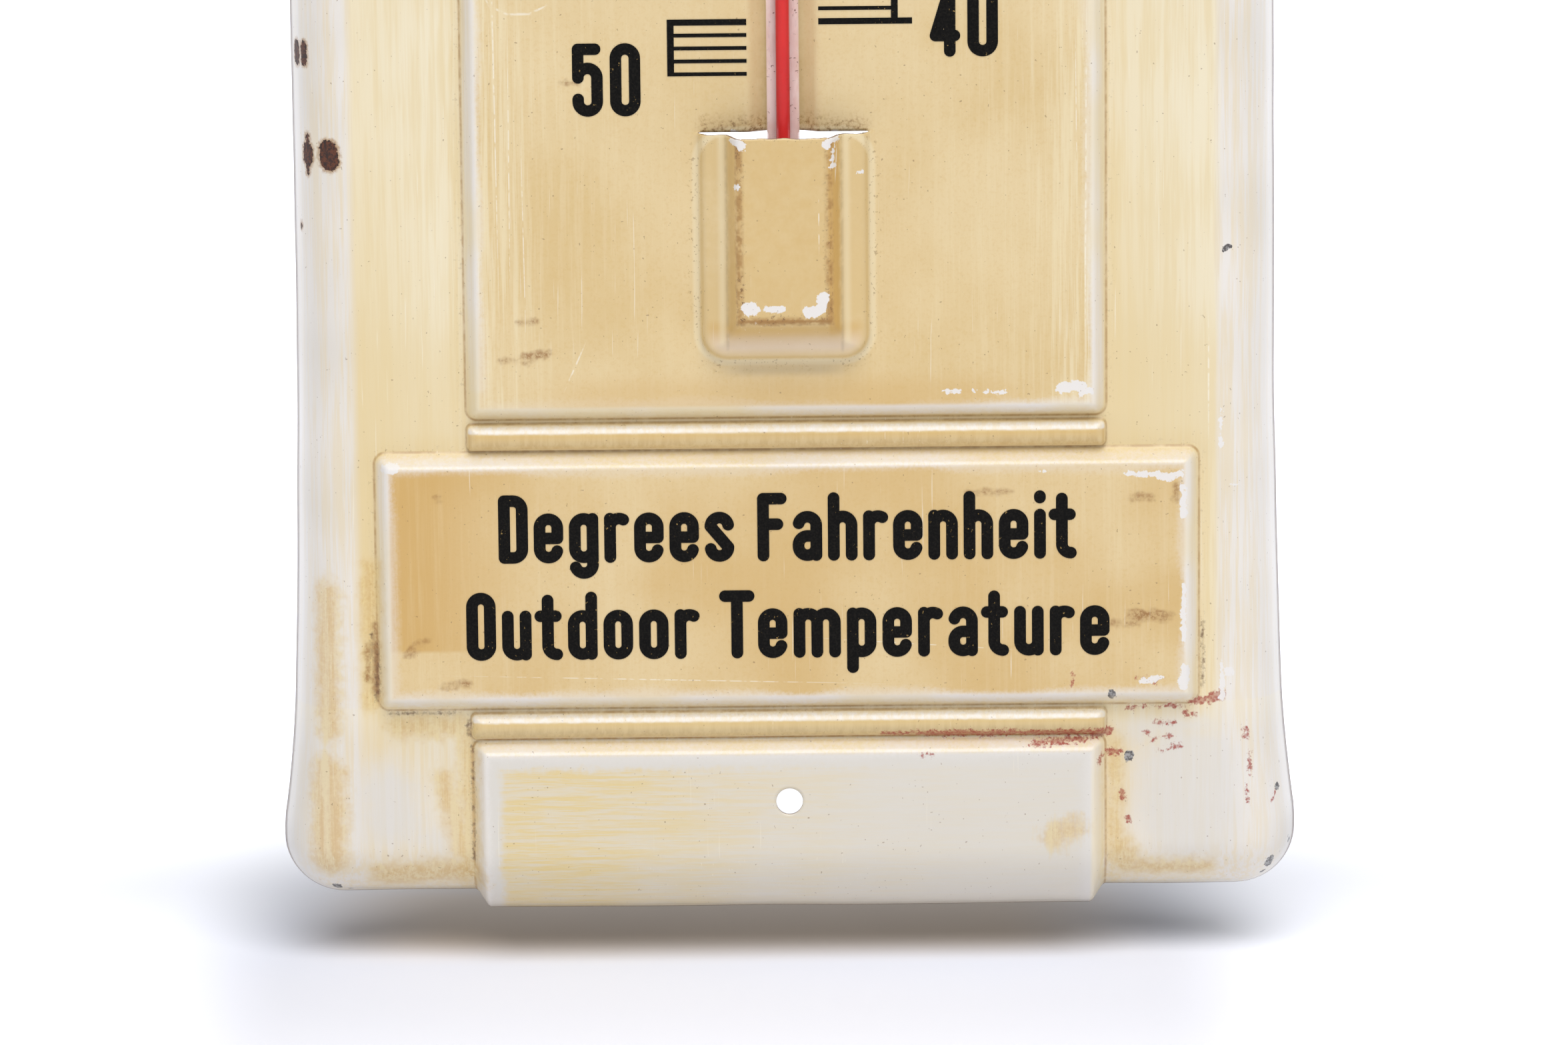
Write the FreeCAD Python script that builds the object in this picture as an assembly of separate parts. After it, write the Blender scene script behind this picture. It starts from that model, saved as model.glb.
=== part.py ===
"""Wall thermometer on a stamped tin panel: one straight spirit tube over a printed Fahrenheit scale.

Millimetres. +X is to the reader's right, +Z is up and the front faces -Y. The origin is midway between the
two nail holes, in the plane y = 0 that the raised dial, text and end panels share. The wall is at y = WALL_Y.
"""
import FreeCAD, Part
import math
import os

# ---------------------------------------------------------------- driving dimensions: the tin sheet
HEIGHT = 381.0                  # over the raised end panels
WAIST_HALF = 73.1               # half width of the straight middle
FLARE_ARCS = ((1900.0, 70.0), (186.0, 21.7))    # radius and height of each flaring arc of a side
CORNER_RADIUS = 9.5
SHEET = 0.45
TRAY_DEPTH = 9.0                # wall to the front of the flat field
ROLL_RADIUS = 8.8               # rolled-back edge
RISE = 2.8                      # raised panels over the flat field
SINK = 0.3                      # how far a raised shape starts below the surface it rises from

DIAL_HALF_WIDTH = 47.6          # at the foot of its slope
DIAL_HALF_HEIGHT = 113.2
CAPTION_HALF_WIDTH = 61.4
CAPTION_LOW_Z = 118.2           # foot of the text panel nearer the middle
CAPTION_HIGH_Z = 157.4
END_HALF_WIDTH = 47.4
END_FOOT_Z = 162.1
PANEL_SLOPE = 1.8               # width of the slope round a raised panel
PANEL_CORNER = 1.6
RIB_ZS = (115.9, 160.0)
RIB_HALF_LENGTH = 45.6
RIB_WIDTH = 4.1
RIB_RISE = 2.0
NAIL_HOLE_RADIUS = 2.0
NAIL_HOLE_Z = 171.5

# ---------------------------------------------------------------- driving dimensions: tube, pocket and strap
TUBE_RADIUS = 2.4
BORE_RADIUS = 0.7
TUBE_TOP_Z = 106.2
BORE_TOP_Z = 103.4
BULB_RADIUS = 4.0
BULB_WALL = 0.6
BULB_LOW_Z = -96.28             # centre of the bulb's round lower end
BULB_HIGH_Z = -78.0             # where the bulb starts to narrow
NECK_Z = -74.5                  # where it has narrowed to the tube
LIQUID_GAP = 0.02               # spirit to glass
MENISCUS_HEIGHT = 1.0
MENISCUS_DISH = 0.35            # depth of its hollow top

GROOVE_HALF_WIDTH = 5.0
GROOVE_DEPTH = 1.8
GROOVE_TOP_Z = 104.5            # start of its rounded top end
TUBE_GAP = 0.05                 # tube to the floor of the groove

POCKET_RISE = 6.0
POCKET_HALF_WIDTH = 12.7        # at the foot of its slopes
POCKET_FACE_HALF = 7.0          # flat front face
POCKET_FOOT_Z = -103.96
POCKET_FACE_LOW_Z = -96.9
POCKET_TOP_Z = -69.8            # lanced edge
POCKET_FOOT_RADIUS = 4.0
POCKET_FACE_RADIUS = 2.5
SLIT_HEIGHT = 0.4
SLIT_HALF_WIDTH = 11.9

STRAP_Z = 102.9
STRAP_HALF_HEIGHT = 1.3
STRAP_THICKNESS = 0.4
STRAP_GAP = 0.03                # tube to strap
STRAP_FOLD_X = 5.3              # tips of the feet folded over behind the sheet
SLOT_GAP = 0.1

# ---------------------------------------------------------------- driving dimensions: the scale and its print
LOW_MARK = -50
HIGH_MARK = 120
REST_MARK = 72
ZERO_Z = -14.83                 # height of the 0 degree mark
DEGREE = 0.9635                 # millimetres for each degree Fahrenheit
TICK_DEGREES = 2
BLOCK_DEGREES = 10

INK = 0.08
LADDER_INNER_X = 5.3
LADDER_OUTER_X = 17.0
LADDER_BAR = 1.0
LONG_TICK_X = 19.1
THIN_LINE = 0.55
THICK_LINE = 0.9

DIGIT_HEIGHT = 10.9
DIGIT_WIDTH = 4.5
DIGIT_STROKE = 1.7
DIGIT_PITCH = 5.55
NUMERAL_LEFT_X = -26.0          # middle of a number on the left
NUMERAL_RIGHT_X = 26.7
LOW_NUMERAL_LIFT = 1.2          # the lowest number sits a little above its mark
CAPITAL_HEIGHT = 10.4
SMALL_HEIGHT = 7.6              # of the letters without a stem
SMALL_DROP = 2.4                # below the line
LETTER_STROKE = 1.75
LETTER_SPAN = 2.65              # between the middles of a letter's two stems
NARROW_LETTER = 0.7             # share of that in an r or a t
WORD_SPACE = 2.6
CAPTION_LINES = (               # words, height of the base line, width of the whole line
    ("Degrees Fahrenheit", -134.6, 86.0),
    ("Outdoor Temperature", -149.4, 96.0),
)

# ---------------------------------------------------------------- planes that follow from them
FACE_Y = 0.0
FIELD_Y = FACE_Y + RISE
WALL_Y = FIELD_Y + TRAY_DEPTH
POCKET_Y = FACE_Y - POCKET_RISE
EDGE_Z = HEIGHT / 2 - RISE      # end of the flat field's own rolled edge
GROOVE_RADIUS = (GROOVE_HALF_WIDTH ** 2 + GROOVE_DEPTH ** 2) / (2 * GROOVE_DEPTH)
GROOVE_Y = FACE_Y + GROOVE_DEPTH - GROOVE_RADIUS
TUBE_Y = FACE_Y + GROOVE_DEPTH - TUBE_GAP - TUBE_RADIUS
SLOPE_SHIFT = math.tan(math.atan2(RISE, PANEL_SLOPE) / 2)   # keeps a slope as thick as the flat sheet
THROUGH = 1.0                   # how far a cutting solid runs past what it cuts

X_AXIS = FreeCAD.Vector(1, 0, 0)
Y_AXIS = FreeCAD.Vector(0, 1, 0)
Z_AXIS = FreeCAD.Vector(0, 0, 1)


def scale_z(mark):
    """Height of a degree mark."""
    return ZERO_Z + mark * DEGREE


def line(start, end):
    return Part.LineSegment(FreeCAD.Vector(*start), FreeCAD.Vector(*end)).toShape()


def arc(start, middle, end):
    return Part.Arc(*(FreeCAD.Vector(*p) for p in (start, middle, end))).toShape()


def polygon_face(points):
    return Part.Face(Part.makePolygon([FreeCAD.Vector(*p) for p in (*points, points[0])]))


def fused(shapes):
    """One solid, or one set of solids, with no seams left inside."""
    first, *rest = shapes
    return first.fuse(rest).removeSplitter() if rest else first


# ---------------------------------------------------------------- the stamped sheet
def side_arcs():
    """The upper right side as arcs, each three (x, z, heading) points; heading 0 is straight up."""
    lean = sum(height / radius for radius, height in FLARE_ARCS)
    z = EDGE_Z - CORNER_RADIUS * (1 + lean) - sum(height for radius, height in FLARE_ARCS)
    x, heading = WAIST_HALF, 0.0
    arcs = []
    for radius, height in FLARE_ARCS:
        turn = math.asin(math.sin(heading) + height / radius) - heading
        points = []
        for part in (0.0, 0.5, 1.0):
            h = heading + turn * part
            points.append((
                x + radius * (math.cos(heading) - math.cos(h)),
                z + radius * (math.sin(h) - math.sin(heading)),
                h,
            ))
        arcs.append(points)
        x, z, heading = points[-1]
    centre_x = x - CORNER_RADIUS * math.cos(heading)
    centre_z = z + CORNER_RADIUS * math.sin(heading)
    corner = []
    for part in (0.0, 0.5, 1.0):
        h = heading + (-math.pi / 2 - heading) * part
        corner.append((centre_x + CORNER_RADIUS * math.cos(h), centre_z - CORNER_RADIUS * math.sin(h), h))
    arcs.append(corner)
    return arcs


def tray_solid(inset, back_y):
    """The tray without its raised panels, drawn in by inset on every outer surface."""
    quarter = [
        [(x - inset * math.cos(h), back_y, z + inset * math.sin(h)) for x, z, h in points]
        for points in side_arcs()
    ]

    def mirrored(points, sx, sz):
        return [(sx * x, y, sz * z) for x, y, z in points]

    quadrants = []
    for sx, sz, backwards in ((1, 1, False), (-1, 1, True), (-1, -1, False), (1, -1, True)):
        arcs = [mirrored(points, sx, sz) for points in quarter]
        if backwards:
            arcs = [points[::-1] for points in arcs[::-1]]
        quadrants.append(arcs)
    edges = []
    for number, arcs in enumerate(quadrants):
        edges += [arc(*points) for points in arcs]
        edges.append(line(arcs[-1][-1], quadrants[(number + 1) % 4][0][0]))
    front_y = FIELD_Y + inset
    solid = Part.Face(Part.Wire(edges)).extrude(FreeCAD.Vector(0, front_y - back_y, 0))
    front_edges = [e for e in solid.Edges if all(abs(v.Y - front_y) < 1e-6 for v in e.Vertexes)]
    return solid.makeFillet(ROLL_RADIUS - inset, front_edges)


def rounded_rectangle(half_x, low_z, high_z, radius, y):
    """A wire in a plane of constant y."""
    edges = []
    corners = (
        (half_x - radius, high_z - radius, 0),
        (-half_x + radius, high_z - radius, 90),
        (-half_x + radius, low_z + radius, 180),
        (half_x - radius, low_z + radius, 270),
    )
    ends = []
    for x, z, start in corners:
        points = []
        for turn in (0, 45, 90):
            a = math.radians(start + turn)
            points.append((x + radius * math.cos(a), y, z + radius * math.sin(a)))
        ends.append(points)
    for number, points in enumerate(ends):
        edges.append(arc(*points))
        edges.append(line(points[-1], ends[(number + 1) % 4][0]))
    return Part.Wire(edges)


def raised_panel(half_x, low_z, high_z, inset):
    """A flat-topped raised panel with sloping sides, standing on the flat field."""
    shift = inset * SLOPE_SHIFT
    grow = PANEL_SLOPE * SINK / RISE - shift
    shrink = PANEL_SLOPE + shift
    foot = rounded_rectangle(
        half_x + grow, low_z - grow, high_z + grow, PANEL_CORNER + grow, FIELD_Y + inset + SINK
    )
    crest = rounded_rectangle(
        half_x - shrink, low_z + shrink, high_z - shrink, PANEL_CORNER - PANEL_SLOPE / 2, FACE_Y + inset
    )
    return Part.makeLoft([foot, crest], True, True)


def end_profile(x, rise, inset, back_y):
    """Section through a lower end panel: flat, then over the rolled edge and down to the rim."""
    y = FIELD_Y + inset - rise
    roll_y = FIELD_Y + ROLL_RADIUS
    roll_z = -(EDGE_Z - ROLL_RADIUS)
    radius = ROLL_RADIUS - inset + rise
    foot_z = -(END_FOOT_Z + inset * SLOPE_SHIFT)
    crest_z = foot_z - PANEL_SLOPE * rise / RISE
    s = math.sqrt(0.5)
    return Part.Wire([
        line((x, back_y, foot_z), (x, FIELD_Y + inset + SINK, foot_z)),
        line((x, FIELD_Y + inset + SINK, foot_z), (x, y, crest_z)),
        line((x, y, crest_z), (x, y, roll_z)),
        arc((x, y, roll_z), (x, roll_y - radius * s, roll_z - radius * s), (x, roll_y, roll_z - radius)),
        line((x, roll_y, roll_z - radius), (x, back_y, roll_z - radius)),
        line((x, back_y, roll_z - radius), (x, back_y, foot_z)),
    ])


def end_panel(inset, back_y):
    """The lower raised end panel, which runs over the rolled edge."""
    foot = END_HALF_WIDTH - inset * SLOPE_SHIFT + PANEL_SLOPE * SINK / 2 / RISE
    crest = END_HALF_WIDTH - inset * SLOPE_SHIFT - PANEL_SLOPE
    sections = ((-foot, -SINK / 2), (-crest, RISE), (crest, RISE), (foot, -SINK / 2))
    return Part.makeLoft([end_profile(x, rise, inset, back_y) for x, rise in sections], True, True)


def rib(z, inset):
    """A half-round cross rib with round ends."""
    radius = ((RIB_WIDTH / 2) ** 2 + RIB_RISE ** 2) / (2 * RIB_RISE)
    y = FIELD_Y - RIB_RISE + radius
    solid = Part.makeCylinder(
        radius - inset, 2 * RIB_HALF_LENGTH, FreeCAD.Vector(-RIB_HALF_LENGTH, y, z), X_AXIS
    )
    ends = [
        Part.makeSphere(radius - inset, FreeCAD.Vector(x, y, z)) for x in (-RIB_HALF_LENGTH, RIB_HALF_LENGTH)
    ]
    return fused([solid, *ends])


def pocket(inset):
    """The guard over the bulb, cut off square at its lanced upper edge."""
    shift = inset * SLOPE_SHIFT
    slope = POCKET_HALF_WIDTH - POCKET_FACE_HALF
    sink = 2 * SHEET - inset
    grow = slope * sink / POCKET_RISE - shift
    beyond = POCKET_TOP_Z + POCKET_FOOT_RADIUS + THROUGH + grow
    foot = rounded_rectangle(
        POCKET_HALF_WIDTH + grow, POCKET_FOOT_Z - grow, beyond + POCKET_FOOT_RADIUS,
        POCKET_FOOT_RADIUS, FACE_Y + inset + sink,
    )
    face = rounded_rectangle(
        POCKET_FACE_HALF - shift, POCKET_FACE_LOW_Z + shift, beyond + POCKET_FACE_RADIUS,
        POCKET_FACE_RADIUS, POCKET_Y + inset,
    )
    keep = Part.makeBox(
        4 * POCKET_HALF_WIDTH, 4 * POCKET_RISE, POCKET_TOP_Z - 2 * POCKET_FOOT_Z,
        FreeCAD.Vector(-2 * POCKET_HALF_WIDTH, POCKET_Y - THROUGH, 2 * POCKET_FOOT_Z),
    )
    return Part.makeLoft([foot, face], True, True).common(keep)


def groove(inset):
    """The shallow trough behind the tube, as the solid that forms it."""
    radius = GROOVE_RADIUS + inset
    trough = Part.makeCylinder(
        radius, GROOVE_TOP_Z - POCKET_TOP_Z, FreeCAD.Vector(0, GROOVE_Y, POCKET_TOP_Z), Z_AXIS
    )
    return fused([trough, Part.makeSphere(radius, FreeCAD.Vector(0, GROOVE_Y, GROOVE_TOP_Z))])


def groove_top_only(shape):
    """Drops what the trough's round end would cut below the lanced edge."""
    high = Part.makeBox(
        4 * GROOVE_RADIUS, 4 * GROOVE_RADIUS, GROOVE_TOP_Z + 2 * GROOVE_RADIUS - POCKET_TOP_Z,
        FreeCAD.Vector(-2 * GROOVE_RADIUS, GROOVE_Y - 2 * GROOVE_RADIUS, POCKET_TOP_Z),
    )
    return shape.common(high)


def stamped_form(inset, back_y):
    """Everything in front of the sheet's face as one solid, drawn in by inset."""
    shapes = [tray_solid(inset, back_y)]
    shapes.append(raised_panel(DIAL_HALF_WIDTH, -DIAL_HALF_HEIGHT, DIAL_HALF_HEIGHT, inset))
    lower_end = end_panel(inset, back_y)
    shapes += [lower_end, lower_end.mirror(FreeCAD.Vector(), Z_AXIS)]
    shapes.append(raised_panel(CAPTION_HALF_WIDTH, -CAPTION_HIGH_Z, -CAPTION_LOW_Z, inset))
    shapes.append(raised_panel(CAPTION_HALF_WIDTH, CAPTION_LOW_Z, CAPTION_HIGH_Z, inset))
    for z in RIB_ZS:
        shapes += [rib(-z, inset), rib(z, inset)]
    form = fused(shapes)
    form = form.cut(groove_top_only(groove(inset)))
    return form.fuse(pocket(inset))


def strap_slot(side):
    """One of the two slots that the strap's legs pass through."""
    inner = TUBE_RADIUS + STRAP_GAP
    return Part.makeBox(
        STRAP_THICKNESS + 2 * SLOT_GAP, FIELD_Y - FACE_Y + THROUGH, 2 * (STRAP_HALF_HEIGHT + SLOT_GAP),
        FreeCAD.Vector(
            inner - SLOT_GAP if side > 0 else -inner - STRAP_THICKNESS - SLOT_GAP,
            FACE_Y - THROUGH,
            STRAP_Z - STRAP_HALF_HEIGHT - SLOT_GAP,
        ),
    )


def panel():
    sheet = stamped_form(0.0, WALL_Y).cut(stamped_form(SHEET, WALL_Y + THROUGH))
    slit = Part.makeBox(
        2 * SLIT_HALF_WIDTH, POCKET_RISE + THROUGH + SHEET, SLIT_HEIGHT,
        FreeCAD.Vector(-SLIT_HALF_WIDTH, POCKET_Y - THROUGH, POCKET_TOP_Z - SLIT_HEIGHT),
    )
    holes = [
        Part.makeCylinder(
            NAIL_HOLE_RADIUS, SHEET + 2 * THROUGH, FreeCAD.Vector(0, FACE_Y - THROUGH, z), Y_AXIS
        )
        for z in (-NAIL_HOLE_Z, NAIL_HOLE_Z)
    ]
    return sheet.cut([slit, strap_slot(-1), strap_slot(1), *holes])


# ---------------------------------------------------------------- the tube, its spirit and its strap
def turned(points):
    """A solid of revolution about the tube's axis from (radius, z) points."""
    face = polygon_face([(r, TUBE_Y, z) for r, z in points])
    return face.revolve(FreeCAD.Vector(0, TUBE_Y, 0), Z_AXIS, 360)


def vessel(gap, tube_radius, top_z):
    """The bulb and neck drawn in by gap, running up as a rod to top_z."""
    radius = BULB_RADIUS - gap
    ball = Part.makeSphere(radius, FreeCAD.Vector(0, TUBE_Y, BULB_LOW_Z))
    body = turned([
        (0, BULB_LOW_Z), (radius, BULB_LOW_Z), (radius, BULB_HIGH_Z), (tube_radius, NECK_Z),
        (tube_radius, top_z), (0, top_z),
    ])
    return fused([ball, body])


def glass_tube():
    """Sealed glass tube: a bulb, a thick-walled stem and a round sealed top."""
    outside = fused([
        vessel(0.0, TUBE_RADIUS, TUBE_TOP_Z - TUBE_RADIUS),
        Part.makeSphere(TUBE_RADIUS, FreeCAD.Vector(0, TUBE_Y, TUBE_TOP_Z - TUBE_RADIUS)),
    ])
    return outside.cut(vessel(BULB_WALL, BORE_RADIUS, BORE_TOP_Z))


def spirit_reservoir():
    return vessel(BULB_WALL + LIQUID_GAP, BORE_RADIUS - LIQUID_GAP, NECK_Z)


def spirit_column():
    """The thread of spirit in the bore, up to the underside of the meniscus."""
    low = FreeCAD.Vector(0, TUBE_Y, NECK_Z)
    height = scale_z(REST_MARK) - MENISCUS_HEIGHT - NECK_Z
    return Part.makeCylinder(BORE_RADIUS - LIQUID_GAP, height, low, Z_AXIS)


def spirit_meniscus():
    """The moving top of the column, hollowed like a wetting liquid's surface."""
    radius = BORE_RADIUS - LIQUID_GAP
    rest_z = scale_z(REST_MARK)
    slug = Part.makeCylinder(
        radius, MENISCUS_HEIGHT, FreeCAD.Vector(0, TUBE_Y, rest_z - MENISCUS_HEIGHT), Z_AXIS
    )
    dish_radius = (radius ** 2 + MENISCUS_DISH ** 2) / (2 * MENISCUS_DISH)
    dish = Part.makeSphere(dish_radius, FreeCAD.Vector(0, TUBE_Y, rest_z - MENISCUS_DISH + dish_radius))
    return slug.cut(dish)


def tube_strap():
    """A bent strip over the tube; its legs pass through the sheet and fold outward behind it."""
    inner = TUBE_RADIUS + STRAP_GAP
    outer = inner + STRAP_THICKNESS
    low_z = STRAP_Z - STRAP_HALF_HEIGHT
    height = 2 * STRAP_HALF_HEIGHT
    centre = FreeCAD.Vector(0, TUBE_Y, low_z)
    ring = Part.makeCylinder(outer, height, centre, Z_AXIS)
    ring = ring.cut(Part.makeCylinder(inner, height, centre, Z_AXIS))
    front = Part.makeBox(2 * outer, outer, height, FreeCAD.Vector(-outer, TUBE_Y - outer, low_z))
    back_of_sheet = GROOVE_Y + math.sqrt((GROOVE_RADIUS + SHEET) ** 2 - outer ** 2)
    fold_y = back_of_sheet + 2 * STRAP_GAP
    tip_y = SHEET + STRAP_THICKNESS * 0.7
    shapes = [ring.common(front)]
    for side in (-1, 1):
        leg = polygon_face([
            (side * inner, TUBE_Y, low_z), (side * outer, TUBE_Y, low_z), (side * outer, fold_y, low_z),
            (side * STRAP_FOLD_X, tip_y, low_z), (side * STRAP_FOLD_X, tip_y + STRAP_THICKNESS, low_z),
            (side * inner, fold_y + 1.5 * STRAP_THICKNESS, low_z),
        ])
        shapes.append(leg.extrude(FreeCAD.Vector(0, 0, height)))
    return fused(shapes)


# ---------------------------------------------------------------- the print
def ink_box(low_x, high_x, low_z, high_z):
    return Part.makeBox(high_x - low_x, INK, high_z - low_z, FreeCAD.Vector(low_x, FACE_Y - INK, low_z))


def bar(x0, z0, x1, z1, width):
    """A straight stroke with round ends."""
    length = math.hypot(x1 - x0, z1 - z0)
    ux, uz = (x1 - x0) / length, (z1 - z0) / length
    r = width / 2
    a = (x0 - uz * r, FACE_Y, z0 + ux * r)
    b = (x1 - uz * r, FACE_Y, z1 + ux * r)
    c = (x1 + uz * r, FACE_Y, z1 - ux * r)
    d = (x0 + uz * r, FACE_Y, z0 - ux * r)
    far = (x1 + ux * r, FACE_Y, z1 + uz * r)
    near = (x0 - ux * r, FACE_Y, z0 - uz * r)
    wire = Part.Wire([line(a, b), arc(b, far, c), line(c, d), arc(d, near, a)])
    return Part.Face(wire).extrude(-INK * Y_AXIS)


def bow(x, z, radius, start, end, width):
    """A curved stroke with round ends; angles in degrees, 0 to the right, 90 upward."""
    r = width / 2

    def at(distance, angle):
        a = math.radians(angle)
        return (x + distance * math.cos(a), FACE_Y, z + distance * math.sin(a))

    def cap(angle, turn):
        cx, cy, cz = at(radius, angle)
        a = math.radians(angle + turn)
        return (cx + r * math.cos(a), cy, cz + r * math.sin(a))

    middle = (start + end) / 2
    wire = Part.Wire([
        arc(at(radius + r, start), at(radius + r, middle), at(radius + r, end)),
        arc(at(radius + r, end), cap(end, 90), at(radius - r, end)),
        arc(at(radius - r, end), at(radius - r, middle), at(radius - r, start)),
        arc(at(radius - r, start), cap(start, -90), at(radius + r, start)),
    ])
    return Part.Face(wire).extrude(-INK * Y_AXIS)


def drawn(strokes, width):
    """Bars (x0, z0, x1, z1) and bows (x, z, radius, start, end) joined into one shape."""
    return fused([(bar if len(stroke) == 4 else bow)(*stroke, width) for stroke in strokes])


def digit(name):
    """A condensed digit about its own middle."""
    if name == "9":
        return digit("6").rotate(FreeCAD.Vector(), Y_AXIS, 180)
    a = (DIGIT_WIDTH - DIGIT_STROKE) / 2
    b = (DIGIT_HEIGHT - DIGIT_STROKE) / 2
    top = b - a
    waist = a / 4
    strokes = {
        "0": [(-a, -top, -a, top), (a, -top, a, top), (0, top, a, 0, 180), (0, -top, a, 180, 360)],
        "1": [(a / 4, -b, a / 4, b), (a / 4, b, -a, b - a)],
        "2": [(0, top, a, 0, 180), (a, top, a, top - a / 2), (a, top - a / 2, -a, -b), (-a, -b, a, -b)],
        "3": [(0, top, a, 0, 170), (a, top, a, waist + a), (0, waist + a, a, 270, 360),
              (0, waist - a, a, 0, 90), (a, waist - a, a, -top), (0, -top, a, 190, 360)],
        "4": [(a / 2, -b, a / 2, b), (a / 2, b, -a, -b / 2), (-a, -b / 2, a, -b / 2)],
        "5": [(-a, b, a * 0.8, b), (-a, b, -a, waist), (0, waist, a, 0, 150), (a, waist, a, -top),
              (0, -top, a, 180, 360), (-a, -top, -a, -top + a / 4)],
        "6": [(-a, -top, -a, top), (0, top, a, 10, 180), (0, -top, a, 180, 360), (a, -top, a, waist - a),
              (0, waist - a, a, 0, 180)],
        "7": [(-a, b, a, b), (a, b, -a / 3, -b)],
        "8": [(0, top, a, 0, 180), (-a, top, -a, waist + a), (a, top, a, waist + a),
              (0, waist + a, a, 180, 360), (0, waist - a, a, 0, 180), (-a, waist - a, -a, -top),
              (a, waist - a, a, -top), (0, -top, a, 180, 360)],
    }
    return drawn(strokes[name], DIGIT_STROKE)


def letter(name):
    """A condensed letter standing on z = 0 from its left edge, and its width."""
    w = LETTER_STROKE / 2
    span = LETTER_SPAN
    r = span / 2
    low = w + r                         # middles of the small letters' lower and upper bows
    brow = SMALL_HEIGHT - w             # upper ends of the small letters' stems
    high = brow - r
    tall = CAPITAL_HEIGHT - w
    narrow = span * NARROW_LETTER
    middle = SMALL_HEIGHT / 2
    ring = [(0, low, 0, high), (span, low, span, high), (r, high, r, 0, 180), (r, low, r, 180, 360)]
    arch = [(r, high, r, 0, 180), (span, w, span, high)]
    drop = -SMALL_DROP + w
    glyphs = {
        "D": (span, [(0, w, 0, tall), (0, tall, r, tall), (r, tall - r, r, 0, 90),
                     (span, low, span, tall - r), (r, low, r, 270, 360), (0, w, r, w)]),
        "F": (span, [(0, w, 0, tall), (0, tall, span, tall), (0, tall / 2 + w, span * 0.8, tall / 2 + w)]),
        "O": (span, [(0, low, 0, tall - r), (span, low, span, tall - r), (r, tall - r, r, 0, 180),
                     (r, low, r, 180, 360)]),
        "T": (span, [(r, w, r, tall), (-w / 2, tall, span + w / 2, tall)]),
        "a": (span, [(span, w, span, high), (r, high, r, 0, 165), (r, middle, span, middle),
                     (r, middle - r, r, 90, 180), (0, low, 0, middle - r), (r, low, r, 180, 360)]),
        "d": (span, [*ring, (span, w, span, tall)]),
        "e": (span, [(0, low, 0, high), (r, high, r, 0, 180), (span, middle, span, high),
                     (0, middle, span, middle), (r, low, r, 180, 345)]),
        "g": (span, [*ring, (span, drop + r, span, brow), (r, drop + r, r, 200, 360)]),
        "h": (span, [(0, w, 0, tall), *arch]),
        "i": (0.0, [(0, w, 0, brow), (0, tall - w / 4, 0, tall)]),
        "m": (2 * span, [(0, w, 0, brow), *arch, (span + r, high, r, 0, 180),
                         (2 * span, w, 2 * span, high)]),
        "n": (span, [(0, w, 0, brow), *arch]),
        "o": (span, ring),
        "p": (span, [*ring, (0, drop, 0, brow)]),
        "r": (narrow, [(0, w, 0, brow), (r, high, r, 60, 180)]),
        "s": (span, [(r, high, r, 10, 180), (0, high, span, low), (r, low, r, 190, 360)]),
        "t": (narrow, [(r / 2, low, r / 2, SMALL_HEIGHT + SMALL_DROP - w), (-w / 2, brow, narrow, brow),
                       (r / 2 + r, low, r, 180, 270)]),
        "u": (span, [(0, low, 0, brow), (r, low, r, 180, 360), (span, w, span, brow)]),
    }
    width, strokes = glyphs[name]
    return drawn(strokes, LETTER_STROKE).translated(FreeCAD.Vector(w, 0, 0)), width + LETTER_STROKE


def marks(step):
    return range(LOW_MARK, HIGH_MARK + 1, step)


def ladder(side):
    """The degree lines on one side, in blocks of ten degrees that alternate with the other side's.

    The lowest block is open: it has no line at the lowest mark.
    """
    turn = 1 if side < 0 else 0
    blocks = [low for low in marks(BLOCK_DEGREES)[:-1] if (low // BLOCK_DEGREES) % 2 == turn]

    def strip(inner, outer, low_z, high_z):
        low_x, high_x = sorted((side * inner, side * outer))
        return ink_box(low_x, high_x, low_z, high_z)

    shapes = []
    for low in blocks:
        high = low + BLOCK_DEGREES
        lines = [mark for mark in range(low, high + 1, TICK_DEGREES) if mark > LOW_MARK]
        low_z = scale_z(lines[0]) - (THICK_LINE if lines[0] == low else THIN_LINE) / 2
        high_z = scale_z(high) + THICK_LINE / 2
        shapes.append(strip(LADDER_OUTER_X - LADDER_BAR, LADDER_OUTER_X, low_z, high_z))
        for mark in lines:
            ends_block = mark in (low, high)
            half = (THICK_LINE if ends_block else THIN_LINE) / 2
            reach = LONG_TICK_X if side > 0 and ends_block else LADDER_OUTER_X
            shapes.append(strip(LADDER_INNER_X, reach, scale_z(mark) - half, scale_z(mark) + half))
    return fused(shapes)


def numerals_print():
    digits = {name: digit(name) for name in "0123456789"}
    shapes = []
    for mark in marks(BLOCK_DEGREES):
        left = (mark // BLOCK_DEGREES) % 2
        text = str(abs(mark))
        middle_x = NUMERAL_LEFT_X if left else NUMERAL_RIGHT_X
        middle_x += (len(text) - 2) * DIGIT_PITCH / 2 * (-1 if left else 1)
        z = scale_z(mark) + (LOW_NUMERAL_LIFT if mark == LOW_MARK else 0.0)
        for number, name in enumerate(text):
            x = middle_x + (number - (len(text) - 1) / 2) * DIGIT_PITCH
            shapes.append(digits[name].translated(FreeCAD.Vector(x, 0, z)))
    return Part.makeCompound(shapes)


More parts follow.
